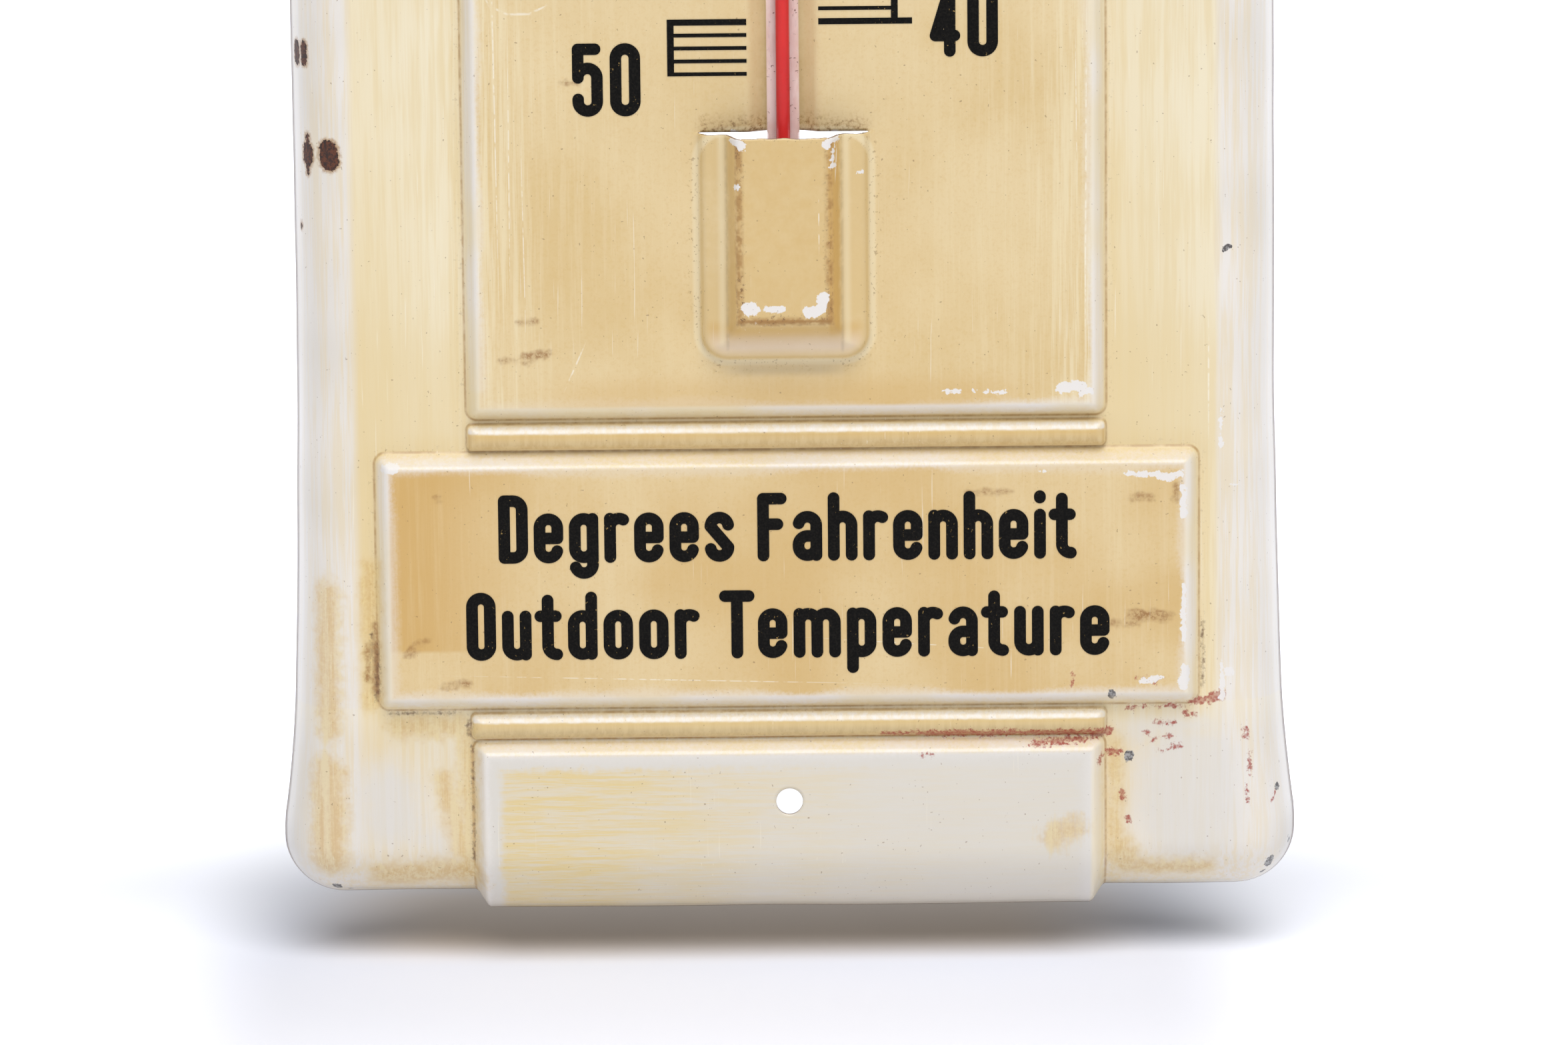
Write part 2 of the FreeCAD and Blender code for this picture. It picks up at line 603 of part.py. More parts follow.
def caption_print():
    letters = {name: letter(name) for text, *_ in CAPTION_LINES for name in text if name != " "}
    shapes = []
    for text, base_z, line_width in CAPTION_LINES:
        words = text.split(" ")
        names = "".join(words)
        solid_width = sum(letters[name][1] for name in names) + WORD_SPACE * (len(words) - 1)
        gap = (line_width - solid_width) / (len(names) - 1)
        x = -line_width / 2
        for name in text:
            if name == " ":
                x += WORD_SPACE
                continue
            shape, width = letters[name]
            shapes.append(shape.translated(FreeCAD.Vector(x, 0, base_z)))
            x += width + gap
    return Part.makeCompound(shapes)


NODES = {
    "panel": panel,
    "glass_tube": glass_tube,
    "spirit_reservoir": spirit_reservoir,
    "spirit_column": spirit_column,
    "spirit_meniscus": spirit_meniscus,
    "tube_strap": tube_strap,
    "scale_print_left": lambda: ladder(-1),
    "scale_print_right": lambda: ladder(1),
    "numerals_print": numerals_print,
    "caption_print": caption_print,
}

os.makedirs("parts", exist_ok=True)
for node, build in NODES.items():
    shape = build()
    if not shape.isValid():
        raise ValueError(node + " is not a valid shape")
    shape.exportStep("parts/" + node + ".step")
    print(node, len(shape.Solids), round(shape.Volume, 1))
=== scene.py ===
import math

import bmesh
import bpy
import numpy as np
from mathutils import Matrix, Vector, noise


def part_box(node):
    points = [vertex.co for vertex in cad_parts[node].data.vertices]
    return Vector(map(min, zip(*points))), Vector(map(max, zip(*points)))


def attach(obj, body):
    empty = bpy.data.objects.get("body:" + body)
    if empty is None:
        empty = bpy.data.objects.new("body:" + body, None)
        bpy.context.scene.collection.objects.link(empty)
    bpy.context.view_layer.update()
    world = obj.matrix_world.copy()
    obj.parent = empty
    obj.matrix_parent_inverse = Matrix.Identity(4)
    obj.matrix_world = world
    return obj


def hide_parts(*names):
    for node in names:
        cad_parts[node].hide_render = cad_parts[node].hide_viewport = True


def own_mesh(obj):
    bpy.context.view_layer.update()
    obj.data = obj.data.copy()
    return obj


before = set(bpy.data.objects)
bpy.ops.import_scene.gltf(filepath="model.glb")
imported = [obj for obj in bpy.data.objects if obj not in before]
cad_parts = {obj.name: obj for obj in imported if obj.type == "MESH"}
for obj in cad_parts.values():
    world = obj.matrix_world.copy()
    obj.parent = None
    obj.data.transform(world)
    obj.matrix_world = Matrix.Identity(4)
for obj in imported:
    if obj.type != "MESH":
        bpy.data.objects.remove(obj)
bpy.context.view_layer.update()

# ---------------- sizes in millimetres, most of them the CAD model's
MM = 0.001
HALF_HEIGHT = 190.5
RISE = 2.8                      # raised panels over the flat field
FIELD_Y = RISE
TRAY_DEPTH = 9.0
EDGE_Z = HALF_HEIGHT - RISE
SHEET = 0.42

WAIST_HALF = 73.1
FLARE = ((85.0, 1900.0, 70.0), (155.0, 186.0, 21.7))    # start height, radius, height of each flaring arc
ROLL_RADIUS = 8.3
ROLL_ANGLE = math.radians(72.0)
ROLL_WIDTH = 9.03               # seen from the front
FLANGE = (TRAY_DEPTH - ROLL_RADIUS * (1 - math.cos(ROLL_ANGLE))) / math.sin(ROLL_ANGLE)
ROLL_STEPS = 24
FLANGE_STEPS = 3
CORNER_STEPS = 14

DIAL = (47.6, -113.2, 113.2)    # half width, low z, high z at the foot of the slope
CAPTION_LOW = (61.4, -157.4, -118.2)
CAPTION_HIGH = (61.4, 118.2, 157.4)
END_LOW = (47.4, -400.0, -162.1)
END_HIGH = (47.4, 162.1, 400.0)
RAISED_PANELS = (DIAL, CAPTION_LOW, CAPTION_HIGH, END_LOW, END_HIGH)
PANEL_SLOPE = 1.8
PANEL_CORNER = 1.6
RIB_ZS = (-160.0, -115.9, 115.9, 160.0)
RIB_HALF = 45.6
RIB_WIDTH = 4.1
RIB_RISE = 2.0
RIB_CORNER = 0.9
NAIL_ZS = (-171.5, 171.5)
NAIL_RADIUS = 2.0
HOLE_CELL = 0.45                # grid spacing round a nail hole
HOLE_INNER = 4 * HOLE_CELL      # half side of the ring of cells that becomes the hole's edge
HOLE_OUTER = 9 * HOLE_CELL      # half side of the patch that moves with it

GROOVE_HALF = 5.0
GROOVE_DEPTH = 1.8
GROOVE_TOP = 104.5
GROOVE_BEND = 0.35              # depth over which its edges are rounded
TUBE_Y = -0.65
TUBE_RADIUS = 2.4
TUBE_TOP = 103.8                # centre of its round end
BULB_RADIUS = 4.0
BULB_LOW = -96.28               # centre of its round end
BULB_NECK = ((4.0, -88.0), (4.0, -78.0), (3.6, -76.3), (2.8, -75.1), (2.4, -74.0))     # radius, z
OPAL_RADIUS = 2.05
OPAL_FRONT = 0.75               # its flat face behind the tube's axis
OPAL_ZS = (-74.0, -40.0, 0.0, 50.0, 102.0)
LOWER_THREAD_RADIUS = 0.68
UPPER_THREAD_RADIUS = 0.66
THREAD_OVERLAP = 0.02           # the upper thread reaches this far into the meniscus
POCKET_HALF = 12.7
POCKET_SLOPE = 6.2
POCKET_FOOT = -103.96
POCKET_SLOPE_LOW = 6.9
POCKET_RISE = 6.0
POCKET_STEP = 1.7
POCKET_STEP_WIDTH = 0.7
POCKET_CORNER = 4.2
POCKET_SIDE = (                 # share of the slope's width, share of its rise
    (0.08, 0.0), (0.60, 0.24), (0.67, 0.31), (0.74, 0.50), (0.90, 0.93), (0.96, 0.985), (1.0, 1.0),
)
POCKET_CHIN = ((0.08, 0.0), (0.30, 0.10), (0.60, 0.44), (0.86, 0.88), (0.96, 0.985), (1.0, 1.0))
POCKET_TOP = -69.8
SLIT_GAP = 0.02                 # the grid has a line this far above and below the pocket's free edge
STRAP_Z = 102.9
STRAP_SLOT_X = 2.7
STRAP_SLOT_HALF = (0.5, 1.4)    # half width, half height
PRINT_BOXES = ((35.0, -64.0, 112.0), (51.0, -152.5, -122.5))    # half width, low z, high z: kept flat
PRINT_BOX_CORNER = 4.0
STRETCH_FROM = 62.4             # past this the grid's columns spread to follow the outline
GRID_HALF = 68.0

# Roughness as waves of noise: height, size, seed.
DENTS = ((0.16, 34.0, 3.1), (0.10, 13.0, 8.7))
DENTS_REACH = 10.0              # full height this far from the print
TEAR = ((0.22, 1.6, 4.4),)      # the pocket's free edge
NICKS = ((0.12, 0.5, 9.1),)
TEAR_MARGIN = 0.6               # its two ends are whole
CLOUDS = ((0.5, 17.0, 5.5), (0.25, 7.0, 2.5))       # mottling of the enamel's colour, about 0.5

BODY = "thermometer"
LEVEL_BODY = "spirit_level"

# Marks on the enamel: (x, z, half width, half height, turn in degrees), millimetres on the unrolled sheet.
RUST_CHIPS = (
    (-74.7, -58.6, 1.2, 2.0, 0), (-72.1, -58.4, 0.8, 1.9, 0), (-71.5, -73.4, 1.2, 1.8, 0),
    (-71.5, -73.4, 0.4, 3.1, 0), (-67.4, -73.3, 1.5, 2.3, 6), (-74.0, -84.5, 0.4, 0.5, 0),
)
GREY_CHIPS = (
    (48.4, -155.6, 0.6, 0.9, 20), (51.0, -165.6, 0.7, 1.0, -25), (-68.6, -187.0, 0.8, 1.1, 20),
    (73.0, -183.6, 0.9, 1.3, -15), (78.5, -181.0, 0.5, 1.3, 30), (74.5, -171.2, 0.6, 0.6, 0),
    (65.6, -88.3, 0.8, 0.4, 30), (-66.4, -188.4, 0.5, 0.4, 0), (72.2, -186.0, 0.6, 0.5, 0),
)
WORN_WHITE = (
    (42.4, -108.6, 2.4, 0.8, 4), (44.6, -109.3, 1.1, 0.6, 20), (31.2, -109.2, 2.0, 0.25, 0),
    (26.0, -109.0, 2.4, 0.16, 0), (-5.1, -95.3, 1.3, 0.9, 0), (4.4, -95.6, 1.8, 0.7, 14),
    (5.6, -94.2, 0.7, 1.4, 0), (-1.6, -95.3, 1.5, 0.5, 0), (54.6, -121.9, 4.4, 0.35, 0),
    (56.6, -122.4, 1.3, 0.6, 0), (59.0, -126.0, 0.5, 2.6, 0), (59.1, -143.0, 0.3, 5.0, 0),
    (59.2, -153.0, 0.7, 2.0, 0), (54.0, -153.2, 2.2, 0.45, 8), (-6.7, -70.6, 1.4, 0.8, -40),
    (6.9, -70.4, 1.3, 0.6, 30), (7.3, -72.3, 0.3, 2.2, 0), (-6.9, -77.0, 0.5, 0.4, 0),
    (11.2, -75.6, 0.5, 0.3, 0), (38.0, -121.3, 0.9, 0.2, 0), (-59.0, -120.0, 1.4, 0.6, 0),
    (64.8, -115.5, 0.25, 3.0, 0), (66.5, -124.2, 1.1, 0.15, -10), (66.0, -152.7, 1.0, 0.7, 0),
    (64.9, -154.0, 0.3, 3.0, 0),
)
SMUDGES = (
    (-37.0, -103.1, 2.4, 0.5, 8), (-40.0, -103.9, 2.4, 0.3, -6), (-38.0, -98.0, 1.6, 0.4, 0),
    (-31.5, -62.2, 1.6, 0.3, 0), (-55.0, -146.8, 1.7, 0.4, 22), (-56.2, -148.4, 1.2, 0.3, 15),
    (-48.6, -153.0, 1.4, 0.5, 0), (-51.0, -153.3, 1.1, 0.4, 0), (-51.9, -124.6, 0.9, 0.3, -12),
    (54.0, -143.4, 3.4, 0.8, -6), (50.5, -144.6, 2.4, 0.5, 0), (30.0, -124.4, 3.6, 0.35, 0),
    (53.0, -125.4, 2.0, 0.5, 0), (58.0, -124.6, 0.5, 1.4, 0), (-61.7, -149.5, 0.45, 5.4, 0),
    (-61.9, -153.4, 0.6, 1.6, 0), (-63.0, -150.0, 0.3, 3.4, 0),
)
RED_STAINS = (
    (34.5, -161.6, 14.0, 0.50, 0), (28.0, -161.5, 14.0, 0.28, 0), (46.5, -161.9, 1.8, 0.55, 6),
    (64.0, -156.5, 1.4, 0.7, 20), (61.6, -157.2, 1.6, 0.5, 10), (57.0, -158.0, 2.6, 0.1, 0),
    (52.4, -158.2, 2.0, 0.08, 4), (56.4, -160.6, 1.6, 0.16, 0), (60.0, -159.2, 0.9, 0.4, -20),
    (53.6, -162.2, 0.5, 0.3, 0), (54.6, -163.2, 0.4, 0.4, 0), (56.8, -162.6, 0.9, 0.3, 0),
    (58.0, -164.2, 1.0, 0.25, 8), (55.8, -164.8, 0.6, 0.25, 8), (48.8, -164.9, 1.2, 0.5, -6),
    (46.6, -165.8, 0.16, 0.7, -20), (68.6, -162.2, 0.3, 0.9, 0), (69.2, -167.0, 0.16, 1.8, 0),
    (68.8, -171.6, 0.14, 1.6, 4), (73.6, -172.4, 0.12, 1.2, -25), (50.0, -171.6, 0.2, 0.9, 12),
    (50.8, -175.4, 0.3, 0.6, 20), (40.5, -162.9, 4.4, 0.3, 4), (20.4, -164.6, 1.0, 0.14, 0),
    (55.4, -153.4, 0.9, 0.16, 30), (52.8, -153.0, 1.4, 0.12, 0), (42.4, -153.2, 0.12, 1.0, 0),
)
GOLD_WASHES = (
    (-62.4, -146.0, 1.0, 11.0, 0), (-69.2, -150.0, 1.8, 12.0, 0), (-69.4, -174.0, 2.6, 9.0, 0),
    (-54.5, -183.2, 8.5, 2.0, 4), (-48.2, -172.0, 1.0, 12.0, 0), (-50.6, -174.0, 1.2, 7.0, 14),
    (49.0, -172.0, 0.6, 9.0, 0), (50.4, -181.0, 1.6, 3.2, 24), (57.0, -183.4, 6.5, 1.2, 0),
    (41.0, -176.6, 3.2, 1.5, 20), (-54.0, -160.2, 6.0, 1.2, 0),
)
BROWNED = (
    (-61.6, -151.6, 0.30, 4.6, 0), (-62.3, -148.0, 0.12, 2.4, 0), (-47.5, -172.0, 0.10, 9.0, 0),
    (62.0, -150.0, 0.14, 5.0, 0), (-55.0, -158.0, 5.0, 0.12, 0), (-47.9, -160.4, 0.3, 1.2, 0),
)
PALED = (
    (-60.0, -172.5, 4.5, 6.5, 10), (60.0, -171.5, 7.5, 11.0, 0), (57.0, -161.0, 7.0, 2.4, 0),
    (-54.0, -177.5, 3.0, 1.4, -20),
)
SCRATCHES = (
    (-42.6, -62.0, 0.10, 26.0, 0.4), (-40.6, -75.0, 0.08, 16.0, -0.3), (-38.6, -86.0, 0.08, 13.0, 0.6),
    (44.6, -78.0, 0.12, 24.0, -0.3), (43.2, -66.0, 0.08, 9.0, 0.5), (-31.2, -104.8, 0.12, 3.2, -24),
    (5.1, -82.5, 0.09, 3.6, 0), (7.7, -73.6, 0.10, 2.4, -3), (62.9, -108.0, 0.12, 8.0, 0),
    (20.0, -147.5, 0.07, 14.0, 86), (-18.0, -152.6, 0.08, 26.0, 88.4), (-43.6, -49.6, 0.14, 1.5, 25),
    (-41.5, -51.4, 0.15, 1.6, 65), (-38.7, -51.9, 0.17, 1.9, 90), (-36.0, -51.3, 0.15, 1.5, -66),
    (-34.2, -49.8, 0.12, 1.4, -32),
)

MARKS = {
    "washed": GOLD_WASHES, "browned": BROWNED, "paled": PALED, "smudged": SMUDGES, "stained": RED_STAINS,
    "worn": WORN_WHITE, "rusted": RUST_CHIPS, "bared": GREY_CHIPS,
}


# ---------------- the sheet's shape
def smooth(x):
    x = np.clip(x, 0.0, 1.0)
    return x * x * (3 - 2 * x)


def soft_ramp(x, bend=0.22):
    """0 to 1 like a straight ramp, with its two corners rounded over the share bend of its length."""
    def eased(t):
        return np.where(t > bend, t, np.where(t > -bend, (t + bend) ** 2 / (4 * bend), 0.0))
    return eased(x) - eased(x - 1.0)


def inside_box(x, z, half, low, high, corner):
    """Distance inside a rounded rectangle; negative outside."""
    cx = np.abs(x) - (half - corner)
    cz = np.abs(z - (low + high) / 2) - ((high - low) / 2 - corner)
    outside = np.hypot(np.maximum(cx, 0), np.maximum(cz, 0))
    return corner - (outside + np.minimum(np.maximum(cx, cz), 0))


def panel_foot(x, z):
    """Distance inside the nearest raised panel's foot line."""
    return np.max([inside_box(x, z, *box, PANEL_CORNER) for box in RAISED_PANELS], axis=0)


def rib_foot(x, z):
    """Distance inside the nearest rib's foot line."""
    half = RIB_WIDTH / 2
    ds = [inside_box(x, z, RIB_HALF + half, rib_z - half, rib_z + half, RIB_CORNER) for rib_z in RIB_ZS]
    return np.max(ds, axis=0)


def rib_offset(z):
    """Height above the middle of the nearest rib."""
    offsets = np.array([z - rib_z for rib_z in RIB_ZS])
    return np.take_along_axis(offsets, np.argmin(np.abs(offsets), axis=0)[None], 0)[0]


def pocket_inset(x, z):
    """Across and up the pocket's slopes: 0 at the foot line, 1 at the edge of the flat face."""
    return (POCKET_HALF - np.abs(x)) / POCKET_SLOPE, (z - POCKET_FOOT) / POCKET_SLOPE_LOW


def pocket_rise(x, z):
    """A small step all round, then a ledge and a steep crease at each side and one slope below the face."""
    across, up = pocket_inset(x, z)
    from_foot = inside_box(x, z, POCKET_HALF, POCKET_FOOT, GROOVE_TOP, POCKET_CORNER)
    step = soft_ramp(from_foot / POCKET_STEP_WIDTH)
    side = np.interp(across, *zip(*POCKET_SIDE))
    chin = np.interp(up, *zip(*POCKET_CHIN))
    return POCKET_STEP * step + (POCKET_RISE - POCKET_STEP) * np.minimum(side, chin)


def groove_depth(x, z):
    """Depth of the tube's groove: part of a cylinder with a round end and softened edges."""
    radius = (GROOVE_HALF ** 2 + GROOVE_DEPTH ** 2) / (2 * GROOVE_DEPTH)
    r = np.hypot(x, np.maximum(z - GROOVE_TOP, 0))
    deep = np.sqrt(np.maximum(radius ** 2 - r ** 2, 0)) - (radius - GROOVE_DEPTH)
    bend = GROOVE_BEND
    return np.where(deep > bend, deep, np.where(deep > -bend, (deep + bend) ** 2 / (4 * bend), 0.0))


def rough(x, z, waves):
    """Smooth noise over the sheet: the sum of (height, size, seed) waves, sizes in millimetres."""
    total = np.zeros_like(x)
    for height, size, seed in waves:
        values = [noise.noise(Vector((a / size, b / size, seed))) for a, b in zip(x.ravel(), z.ravel())]
        total = total + height * np.array(values).reshape(x.shape)
    return total


def dents(x, z):
    """The sheet's slight waviness, none of it where the print lies."""
    outside = np.min([-inside_box(x, z, *box, PRINT_BOX_CORNER) for box in PRINT_BOXES], axis=0)
    return smooth(outside / DENTS_REACH) * rough(x, z, DENTS)


def front_rise(x, z, below_slit):
    """How far the sheet's front stands off the flat field, along the field's own normal."""
    rise = RISE * soft_ramp(panel_foot(x, z) / PANEL_SLOPE)
    r = rib_foot(x, z)
    rib = RIB_RISE * np.sqrt(np.clip(1 - (1 - np.clip(r, 0, None) / (RIB_WIDTH / 2)) ** 2, 0, 1))
    rise = np.maximum(rise, np.where(r > 0, rib, 0))
    rise = rise - np.where(below_slit, 0.0, groove_depth(x, z))
    rise = rise + np.where(below_slit, pocket_rise(x, z), 0.0)
    return rise + dents(x, z)


def mark_distance(x, z, marks):
    """Distance outside the nearest mark in millimetres, negative inside it."""
    nearest = np.full_like(x, 1000.0)
    for mark_x, mark_z, half_x, half_z, turn in marks:
        c, s = math.cos(math.radians(turn)), math.sin(math.radians(turn))
        along = (x - mark_x) * c + (z - mark_z) * s
        up = (z - mark_z) * c - (x - mark_x) * s
        short = min(half_x, half_z)
        past_x = np.maximum(np.abs(along) - (half_x - short), 0)
        past_z = np.maximum(np.abs(up) - (half_z - short), 0)
        nearest = np.minimum(nearest, np.hypot(past_x, past_z) - short)
    return nearest


# ---------------- the sheet's mesh
def graded(*spans):
    """Grid lines from (start, end, step) spans."""
    lines = []
    for start, end, step in spans:
        count = max(1, round(abs(end - start) / step))
        lines += list(np.linspace(start, end, count + 1))[:-1]
    return np.array(lines + [spans[-1][1]])


def waist_half(z):
    """Half width of the outline at a height."""
    z = np.abs(z)
    x = np.full_like(z, WAIST_HALF)
    lean = 0.0
    for start, radius, height in FLARE:
        t = np.clip(z - start, 0, height)
        x = x + lean * t + t * t / (2 * radius)
        lean += height / radius
    return x


def sheet_grid():
    """Grid lines across and up, closer together where the sheet bends or carries a fine mark."""
    right = graded((0, 15.3, HOLE_CELL), (15.3, 42.3, 0.8), (42.3, 48.3, 0.3), (48.3, 57.3, 0.8),
                   (57.3, STRETCH_FROM, 0.32), (STRETCH_FROM, GRID_HALF, 0.8))
    across = np.concatenate([-right[:0:-1], right])
    low_nail, high_nail = NAIL_ZS
    top_edge = EDGE_Z - ROLL_WIDTH
    below_slit = graded((-top_edge, low_nail - HOLE_OUTER, 0.7),
                        (low_nail - HOLE_OUTER, low_nail + HOLE_OUTER, HOLE_CELL),
                        (low_nail + HOLE_OUTER, -154.5, 0.32), (-154.5, -123.5, 0.8), (-123.5, -110.5, 0.3),
                        (-110.5, POCKET_TOP - SLIT_GAP, 0.4))
    above_slit = graded((POCKET_TOP + SLIT_GAP, -54.0, 0.45), (-54.0, 98.0, 1.6), (98.0, 113.5, 0.5),
                        (113.5, 123.0, 0.4), (123.0, 153.0, 1.6), (153.0, high_nail - HOLE_OUTER, 0.4),
                        (high_nail - HOLE_OUTER, high_nail + HOLE_OUTER, HOLE_CELL),
                        (high_nail + HOLE_OUTER, top_edge, 0.8))
    return across, np.concatenate([below_slit, above_slit])


def stretched(x, up):
    """The grid's x with its outer columns spread so that the last one follows the outline."""
    edge_x = waist_half(up) - ROLL_WIDTH
    share = (np.abs(x) - STRETCH_FROM) / (GRID_HALF - STRETCH_FROM)
    spread = np.sign(x) * (STRETCH_FROM + share * (edge_x[:, None] - STRETCH_FROM))
    return np.where(np.abs(x) > STRETCH_FROM, spread, x)


def open_hole(x, z, centre_z):
    """Moves the grid round a nail hole so that one ring of it becomes a circle."""
    dx, dz = x, z - centre_z
    square = np.maximum(np.abs(dx), np.abs(dz))
    radius = np.hypot(dx, dz)
    t = smooth((square - HOLE_INNER) / (HOLE_OUTER - HOLE_INNER))
    with np.errstate(divide="ignore", invalid="ignore"):
        scale = np.where(radius > 0, (NAIL_RADIUS * square / HOLE_INNER / radius) * (1 - t) + t, 1.0)
    near = square < HOLE_OUTER
    return np.where(near, dx * scale, x), np.where(near, centre_z + dz * scale, z)


def sheet_quads(up, x, z):
    """The grid's quads, without those over the pocket's slit, the nail holes and the strap's slots."""
    nz, nx = x.shape
    cx = (x[:-1, :-1] + x[1:, 1:]) / 2
    cz = (z[:-1, :-1] + z[1:, 1:]) / 2
    rows, cols = np.meshgrid(np.arange(nz - 1), np.arange(nx - 1), indexing="ij")
    slit_row = int(np.argmax(up > POCKET_TOP)) - 1
    is_open = (rows == slit_row) & (np.abs(cx) < POCKET_HALF)
    for centre in NAIL_ZS:
        is_open |= np.maximum(np.abs(cx), np.abs(cz - centre)) < HOLE_INNER
    slot_half, slot_high = STRAP_SLOT_HALF
    is_open |= (np.abs(cz - STRAP_Z) < slot_high) & (np.abs(np.abs(cx) - STRAP_SLOT_X) < slot_half)
    corner = (rows * nx + cols)[~is_open]
    return np.stack([corner, corner + 1, corner + nx + 1, corner + nx], 1)


def side_lean(height):
    """Angle of the outline's outward normal over the x axis, at the reader's right."""
    above, below = waist_half(np.array([height + 0.5])), waist_half(np.array([height - 0.5]))
    return math.atan2(below[0] - above[0], 1.0)


def edge_spokes(up, nx):
    """(grid point, angle) of the rolled edge's spokes: one for each edge point and a fan at each corner."""
    nz = len(up)
    quarter = math.pi / 2
    spokes = [(i, -quarter) for i in range(nx)]

    def fan(point, target, steps=CORNER_STEPS):
        start = spokes[-1][1]
        return [(point, start + (target - start) * step / CORNER_STEPS) for step in range(1, steps + 1)]

    spokes += fan(nx - 1, side_lean(up[0]))
    spokes += [(j * nx + nx - 1, side_lean(up[j])) for j in range(1, nz)]
    spokes += fan(nz * nx - 1, quarter)
    spokes += [((nz - 1) * nx + i, quarter) for i in range(nx - 2, -1, -1)]
    spokes += fan((nz - 1) * nx, math.pi - side_lean(up[-1]))
    spokes += [(j * nx, math.pi - side_lean(up[j])) for j in range(nz - 2, -1, -1)]
    spokes += fan(0, 3 * quarter, CORNER_STEPS - 1)     # the last fan ends on the first spoke
    return spokes


def roll_edge(sheet, spokes):
    """Adds the rings of the rolled edge and its flange to the sheet's points, and returns their quads."""
    index = np.array([point for point, _ in spokes])
    angle = np.array([spoke_angle for _, spoke_angle in spokes])
    out = np.stack([np.cos(angle), np.sin(angle)], 1)
    start = sheet["plan"][0][index]
    start_under = sheet["under"][0][index]
    count = len(spokes)
    following = np.roll(np.arange(count), -1)
    inner_ring = index
    total = len(sheet["plan"][0])
    quads = []
    for step in range(1, ROLL_STEPS + FLANGE_STEPS + 1):
        turn = ROLL_ANGLE * min(step, ROLL_STEPS) / ROLL_STEPS
        run = FLANGE * max(step - ROLL_STEPS, 0) / FLANGE_STEPS
        sideways = ROLL_RADIUS * math.sin(turn) + run * math.cos(turn)
        back = ROLL_RADIUS * (1 - math.cos(turn)) + run * math.sin(turn)
        at = start + out * sideways
        sheet["base"].append(np.stack([at[:, 0], np.full(count, FIELD_Y + back), at[:, 1]], 1))
        sheet["normal"].append(np.stack([
            out[:, 0] * math.sin(turn), np.full(count, -math.cos(turn)), out[:, 1] * math.sin(turn)
        ], 1))
        sheet["plan"].append(start + out * (ROLL_RADIUS * turn + run))
        sheet["under"].append(start_under)
        sheet["to_rim"].append(np.full(count, FLANGE - run if step >= ROLL_STEPS else ROLL_RADIUS))
        ring = total + np.arange(count)
        strip = np.stack([inner_ring, ring, ring[following], inner_ring[following]], 1)
        quads.append(strip[np.array([len(set(q)) >= 3 for q in strip])])
        inner_ring = ring
        total += count
    return quads


def sheet_points():
    """Arrays over all points of the sheet, and its quads as lists of point numbers.

    plan is x and z on the unrolled sheet, base the same point without the relief, normal the way the relief
    stands, under is true below the pocket's slit, and to_rim the distance from the cut edge.
    """
    across, up = sheet_grid()
    x, z = np.meshgrid(across, up)
    x = stretched(x, up)
    quads = [sheet_quads(up, x, z)]
    for centre in NAIL_ZS:
        x, z = open_hole(x, z, centre)
    below = np.repeat((up < POCKET_TOP)[:, None], len(across), axis=1)
    sheet = {
        "plan": [np.stack([x.ravel(), z.ravel()], 1)],
        "base": [np.stack([x.ravel(), np.full(x.size, FIELD_Y), z.ravel()], 1)],
        "normal": [np.tile((0.0, -1.0, 0.0), (x.size, 1))],
        "under": [below.ravel()],
        "to_rim": [np.full(x.size, ROLL_RADIUS)],
    }
    quads += roll_edge(sheet, edge_spokes(up, len(across)))
    return {name: np.concatenate(parts) for name, parts in sheet.items()}, quads


def torn_lip(x, z):
    """How far the tin is torn up or down along the pocket's free edge, and which points lie on that edge."""
    lip = (np.abs(z - (POCKET_TOP - SLIT_GAP)) < SLIT_GAP / 2) & (np.abs(x) < POCKET_HALF - TEAR_MARGIN)
    return rough(x[lip], z[lip], TEAR) - np.abs(rough(x[lip], z[lip], NICKS)), lip


def sheet_layers(x, z, sheet):
    """What the enamel needs to know at each point, most of it distances from the sheet's features."""
    across, up = pocket_inset(x, z)
    under = sheet["under"]
    small = 0.1
    layers = {name: mark_distance(x, z, places) for name, places in MARKS.items()}
    return layers | {
        "foot": panel_foot(x, z),
        "rib": rib_foot(x, z),
        "pocket": np.where(under, np.minimum(across, up), -1.0),
        "pocket_side": np.where(under, across, -1.0),
        "pocket_foot": inside_box(x, z, POCKET_HALF, POCKET_FOOT, POCKET_TOP, POCKET_CORNER),
        "rib_up": rib_offset(z),
        "uphill": (panel_foot(x, z - small) - panel_foot(x, z + small)) / (2 * small),
        "cloud": 0.5 + rough(x, z, CLOUDS),
        "to_rim": sheet["to_rim"],
        "unrolled_x": x,
        "unrolled_z": z,
    }


def build_panel():
    sheet, quads = sheet_points()
    x, z = sheet["plan"].T
    points = sheet["base"] + sheet["normal"] * front_rise(x, z, sheet["under"])[:, None]
    tear, lip = torn_lip(x, z)
    points[lip, 2] += tear
    faces = [tuple(dict.fromkeys(q)) for part in quads for q in part.tolist()]
    mesh = bpy.data.meshes.new("tin_panel")
    mesh.from_pydata((points * MM).tolist(), [], faces)
    for name, values in sheet_layers(x, z, sheet).items():
        mesh.attributes.new(name, "FLOAT", "POINT").data.foreach_set("value", values.astype(np.float32))
    mesh.shade_smooth()
    panel = bpy.data.objects.new("tin_panel", mesh)
    bpy.context.collection.objects.link(panel)
    thick = panel.modifiers.new("thickness", "SOLIDIFY")
    thick.thickness = SHEET * MM
    thick.offset = -1
    thick.use_rim = True
    thick.material_offset = 1
    thick.material_offset_rim = 2
    return panel


# ---------------- materials
def rgb(r, g, b):
    """A display colour, 0 to 255, as the linear colour a shader takes."""
    def linear(v):
        v /= 255
        return v / 12.92 if v <= 0.04045 else ((v + 0.055) / 1.055) ** 2.4
    return (linear(r), linear(g), linear(b), 1.0)


